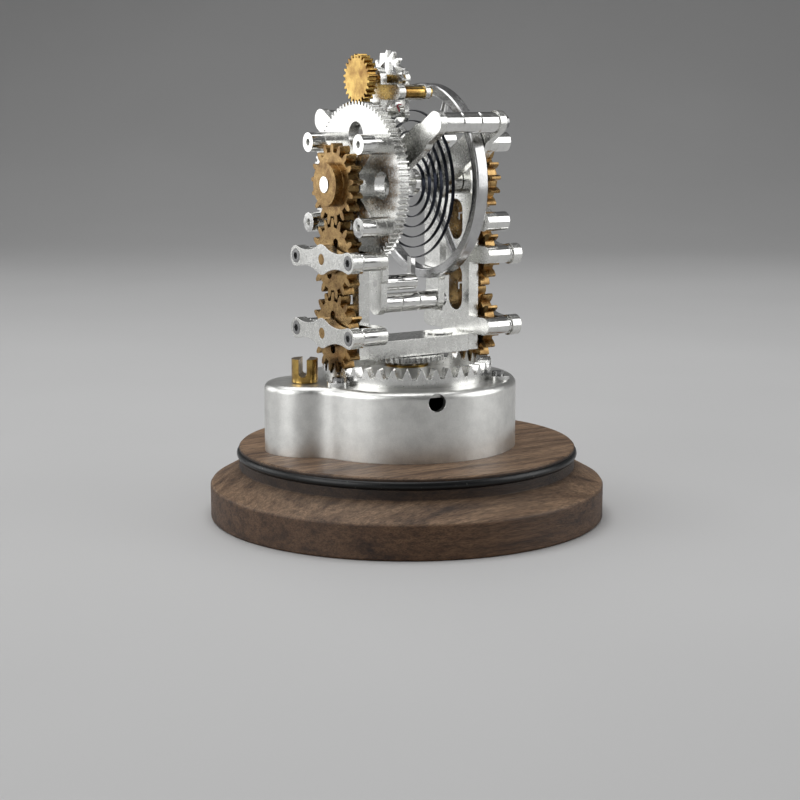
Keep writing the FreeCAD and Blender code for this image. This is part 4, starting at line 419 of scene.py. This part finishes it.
dress(satin_aluminium, "casing")
dress(plain_aluminium, "casing_floor")
dress(cut_steel, "crown_gear", "cage_drive_wheel", "fixed_side_gear", "escape_wheel")
dress(satin_steel, "bottom_beam", "left_side_plate", "right_side_plate", "lower_left_bridge", "middle_left_bridge",
      "lower_right_bridge", "middle_right_bridge", "cage_two_left_plate", "cage_two_right_plate", "escapement_cock",
      "pallet_fork")
dress(bright_steel, "bridge_pillars", "upper_pillars", "hairspring_stud", "cage_two_pillars", "cage_staff",
      "barrel_arbor", "ratchet_wheel", "click", "transfer_arbor", "left_trunnion", "right_trunnion", "balance_staff",
      "impulse_roller")
dress(screw_steel, "base_screws", "floor_screws", "crown_screws", "click_screw", "cage_screws", "cage_two_screws")
dress(gear_brass, "lower_left_gear", "middle_left_gear", "lower_right_gear", "middle_right_gear", "upper_left_gear",
      "upper_right_gear", "transfer_wheel", "barrel_drum", "barrel_cover")
dress(plain_brass, "centre_bearing", "winding_arbor", "winding_pinion", "escape_arbor", "cock_posts")
dress(spring_steel, "mainspring", "click_spring", "hairspring")
dress(balance_steel, "balance_wheel")

# %% [markdown]
# The bearing stones and the pallet stones are polished red stone: deep red and glossy.

# %% Red stone
red_stone = Finish("red_stone", Roughness=0.06, IOR=1.76)
red_cloud = red_stone.noise(900.0)
red_stone.use(Base_Color=red_stone.mix(red_cloud, (0.30, 0.006, 0.025), (0.55, 0.02, 0.06)))
dress(red_stone, "balance_jewels", "pallet_stones")

# %% [markdown]
# The hairspring of a real balance is an even spiral: with each turn it moves outward by the
# same step. The CAD frame draws it as half circles, which is simple to build but kinks twice
# in a turn. Here the same strip follows a true spiral. A small section with rounded corners
# is carried along the spiral, as a grid with one row per step and one column per corner.

# %% Helpers for closed pieces
LEVEL_AXIS = (0.0, 126.1 * MM)


def closed_piece(name, grids, body, finish, sharp=40.0):
    """Several grids, each closed round its section, become one piece with its ends shut.

    A grid has the shape (rows, columns, 3). Its columns go round the section. The first and
    last rows are each shut by one flat face, unless the rows close on themselves.
    """
    points, faces, start = [], [], 0
    for grid, loop in grids:
        rows, columns = grid.shape[:2]
        index = start + np.arange(rows * columns).reshape(rows, columns)
        points.append(grid.reshape(-1, 3))
        around_index = np.hstack([index, index[:, :1]])
        if loop:
            around_index = np.vstack([around_index, around_index[:1]])
        faces += np.stack([around_index[:-1, :-1], around_index[:-1, 1:], around_index[1:, 1:],
                           around_index[1:, :-1]], axis=-1).reshape(-1, 4).tolist()
        if not loop:
            faces += [index[0, ::-1].tolist(), index[-1].tolist()]
        start += rows * columns
    mesh = bpy.data.meshes.new(name)
    mesh.from_pydata(np.vstack(points).tolist(), [], faces)
    mesh.update()
    work = bmesh.new()
    work.from_mesh(mesh)
    bmesh.ops.recalc_face_normals(work, faces=work.faces)
    work.to_mesh(mesh)
    work.free()
    mesh.polygons.foreach_set("use_smooth", np.full(len(mesh.polygons), True))
    mesh.set_sharp_from_angle(angle=math.radians(sharp))
    piece = link(mesh, name)
    piece.data.materials.append(finish.material)
    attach(piece, body)
    print(name, len(mesh.polygons), "faces")
    return piece


def rounded_rectangle(half_width, half_height, corner, steps=3):
    """Corner arcs of a rectangle, in order round it, shape (points, 2)."""
    turn = np.linspace(0, math.pi / 2, steps)
    arc = np.stack([np.cos(turn), np.sin(turn)], axis=1) * corner
    inner = np.array([half_width - corner, half_height - corner])
    quarter = [arc, arc[:, ::-1] * [-1, 1], -arc, arc[:, ::-1] * [1, -1]]
    signs = ((1, 1), (-1, 1), (-1, -1), (1, -1))
    return np.vstack([part + inner * sign for part, sign in zip(quarter, signs)])


# %% The hairspring as a true spiral
SPRING_MIDDLE = 2.0 * MM
SPRING_WIDTH = 1.4 * MM
SPRING_THICKNESS = 0.35 * MM
SPRING_FIRST_RADIUS = 5.475 * MM
SPRING_PITCH = 3.8 * MM
SPRING_TURNS = 6
STEPS_PER_TURN = 96


def hairspring_grid():
    """Radius = first radius + pitch times turns, from the low side round the near side.

    A point of the section is its distance outward from the spiral and its place along X.
    """
    turns = np.linspace(0, SPRING_TURNS, SPRING_TURNS * STEPS_PER_TURN + 1)
    angle = 2 * math.pi * turns + math.pi
    radius = SPRING_FIRST_RADIUS + SPRING_PITCH * turns
    section = rounded_rectangle(SPRING_THICKNESS / 2, SPRING_WIDTH / 2, 0.1 * MM, steps=2)
    reach = radius[:, None] + section[None, :, 0]
    along = np.broadcast_to(SPRING_MIDDLE + section[None, :, 1], reach.shape)
    side = -reach * np.sin(angle)[:, None]
    rise = LEVEL_AXIS[1] + reach * np.cos(angle)[:, None]
    return np.stack([along, side, rise], axis=-1)


spring = closed_piece("hairspring_spiral", [(hairspring_grid(), False)], "cage_two", spring_steel)
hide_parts("hairspring")
spring_length = 2 * math.pi * SPRING_TURNS * (SPRING_FIRST_RADIUS + SPRING_PITCH * SPRING_TURNS / 2)
print("hairspring strip is about", round(spring_length / MM), "mm long")

# %% [markdown]
# The balance wheel is turned from one blank. Its rim has small polished bevels that catch the
# light as two thin bright lines, its hub is a plain bevelled ring, and its three spokes are slim
# and grow wider towards the hub. The rim and the hub are rings: a closed outline in radius and X,
# carried round the level axis. A spoke is a section carried along a straight line.

# %% The balance wheel
RIM_LEFT, RIM_RIGHT = 6.4 * MM, 11.2 * MM
RIM_OUTER, RIM_INNER = 36.4 * MM, 32.6 * MM
RIM_BEVEL = 0.45 * MM
HUB_OUTER, HUB_BORE = 4.2 * MM, 1.5 * MM
SPOKE_ANGLES = (233.0, 353.0, 113.0)
SPOKE_HALF = 1.1 * MM
SPOKE_ROOT_HALF = 1.7 * MM
SPOKE_THICKNESS_HALF = 1.1 * MM


def ring_grid(outline, steps=192):
    """Each outline point (X, radius) goes round the level axis: Y and Z are its radius times
    the cosine and sine of the angle."""
    outline = np.array(outline)
    angle = np.linspace(0, 2 * math.pi, steps, endpoint=False)[:, None]
    along = np.broadcast_to(outline[None, :, 0], (steps, len(outline)))
    return np.stack([along, outline[None, :, 1] * np.cos(angle),
                     LEVEL_AXIS[1] + outline[None, :, 1] * np.sin(angle)], axis=-1)


def bevelled_ring(left, right, outer, inner, bevel):
    """Outline of a ring with its four corners cut off."""
    return [(left + bevel, outer), (right - bevel, outer), (right, outer - bevel), (right, inner + bevel),
            (right - bevel, inner), (left + bevel, inner), (left, inner + bevel), (left, outer - bevel)]


def spoke_grid(degrees):
    """A rounded section along a ray from the hub to the rim.

    Its half width falls from the root value with the square of the remaining way.
    """
    way = np.linspace(0, 1, 14)
    reach = 3.4 * MM + way * (RIM_INNER + 0.6 * MM - 3.4 * MM)
    widen = 1 + (SPOKE_ROOT_HALF / SPOKE_HALF - 1) * (1 - way) ** 2
    section = rounded_rectangle(SPOKE_HALF, SPOKE_THICKNESS_HALF, 0.3 * MM)
    across = section[None, :, 0] * widen[:, None]
    along = np.broadcast_to((RIM_LEFT + RIM_RIGHT) / 2 + section[None, :, 1], across.shape)
    turn = math.radians(degrees)
    side = reach[:, None] * math.cos(turn) - across * math.sin(turn)
    rise = LEVEL_AXIS[1] + reach[:, None] * math.sin(turn) + across * math.cos(turn)
    return np.stack([along, side, rise], axis=-1)


balance_grids = [(ring_grid(bevelled_ring(RIM_LEFT, RIM_RIGHT, RIM_OUTER, RIM_INNER, RIM_BEVEL)), True),
                 (ring_grid(bevelled_ring(RIM_LEFT, RIM_RIGHT, HUB_OUTER, HUB_BORE, RIM_BEVEL), steps=64), True)]
balance_grids += [(spoke_grid(degrees), False) for degrees in SPOKE_ANGLES]
balance_piece = closed_piece("balance_wheel_turned", balance_grids, "balance", balance_steel)
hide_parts("balance_wheel")
print("balance rim is", round(2 * RIM_OUTER / MM, 1), "mm across")
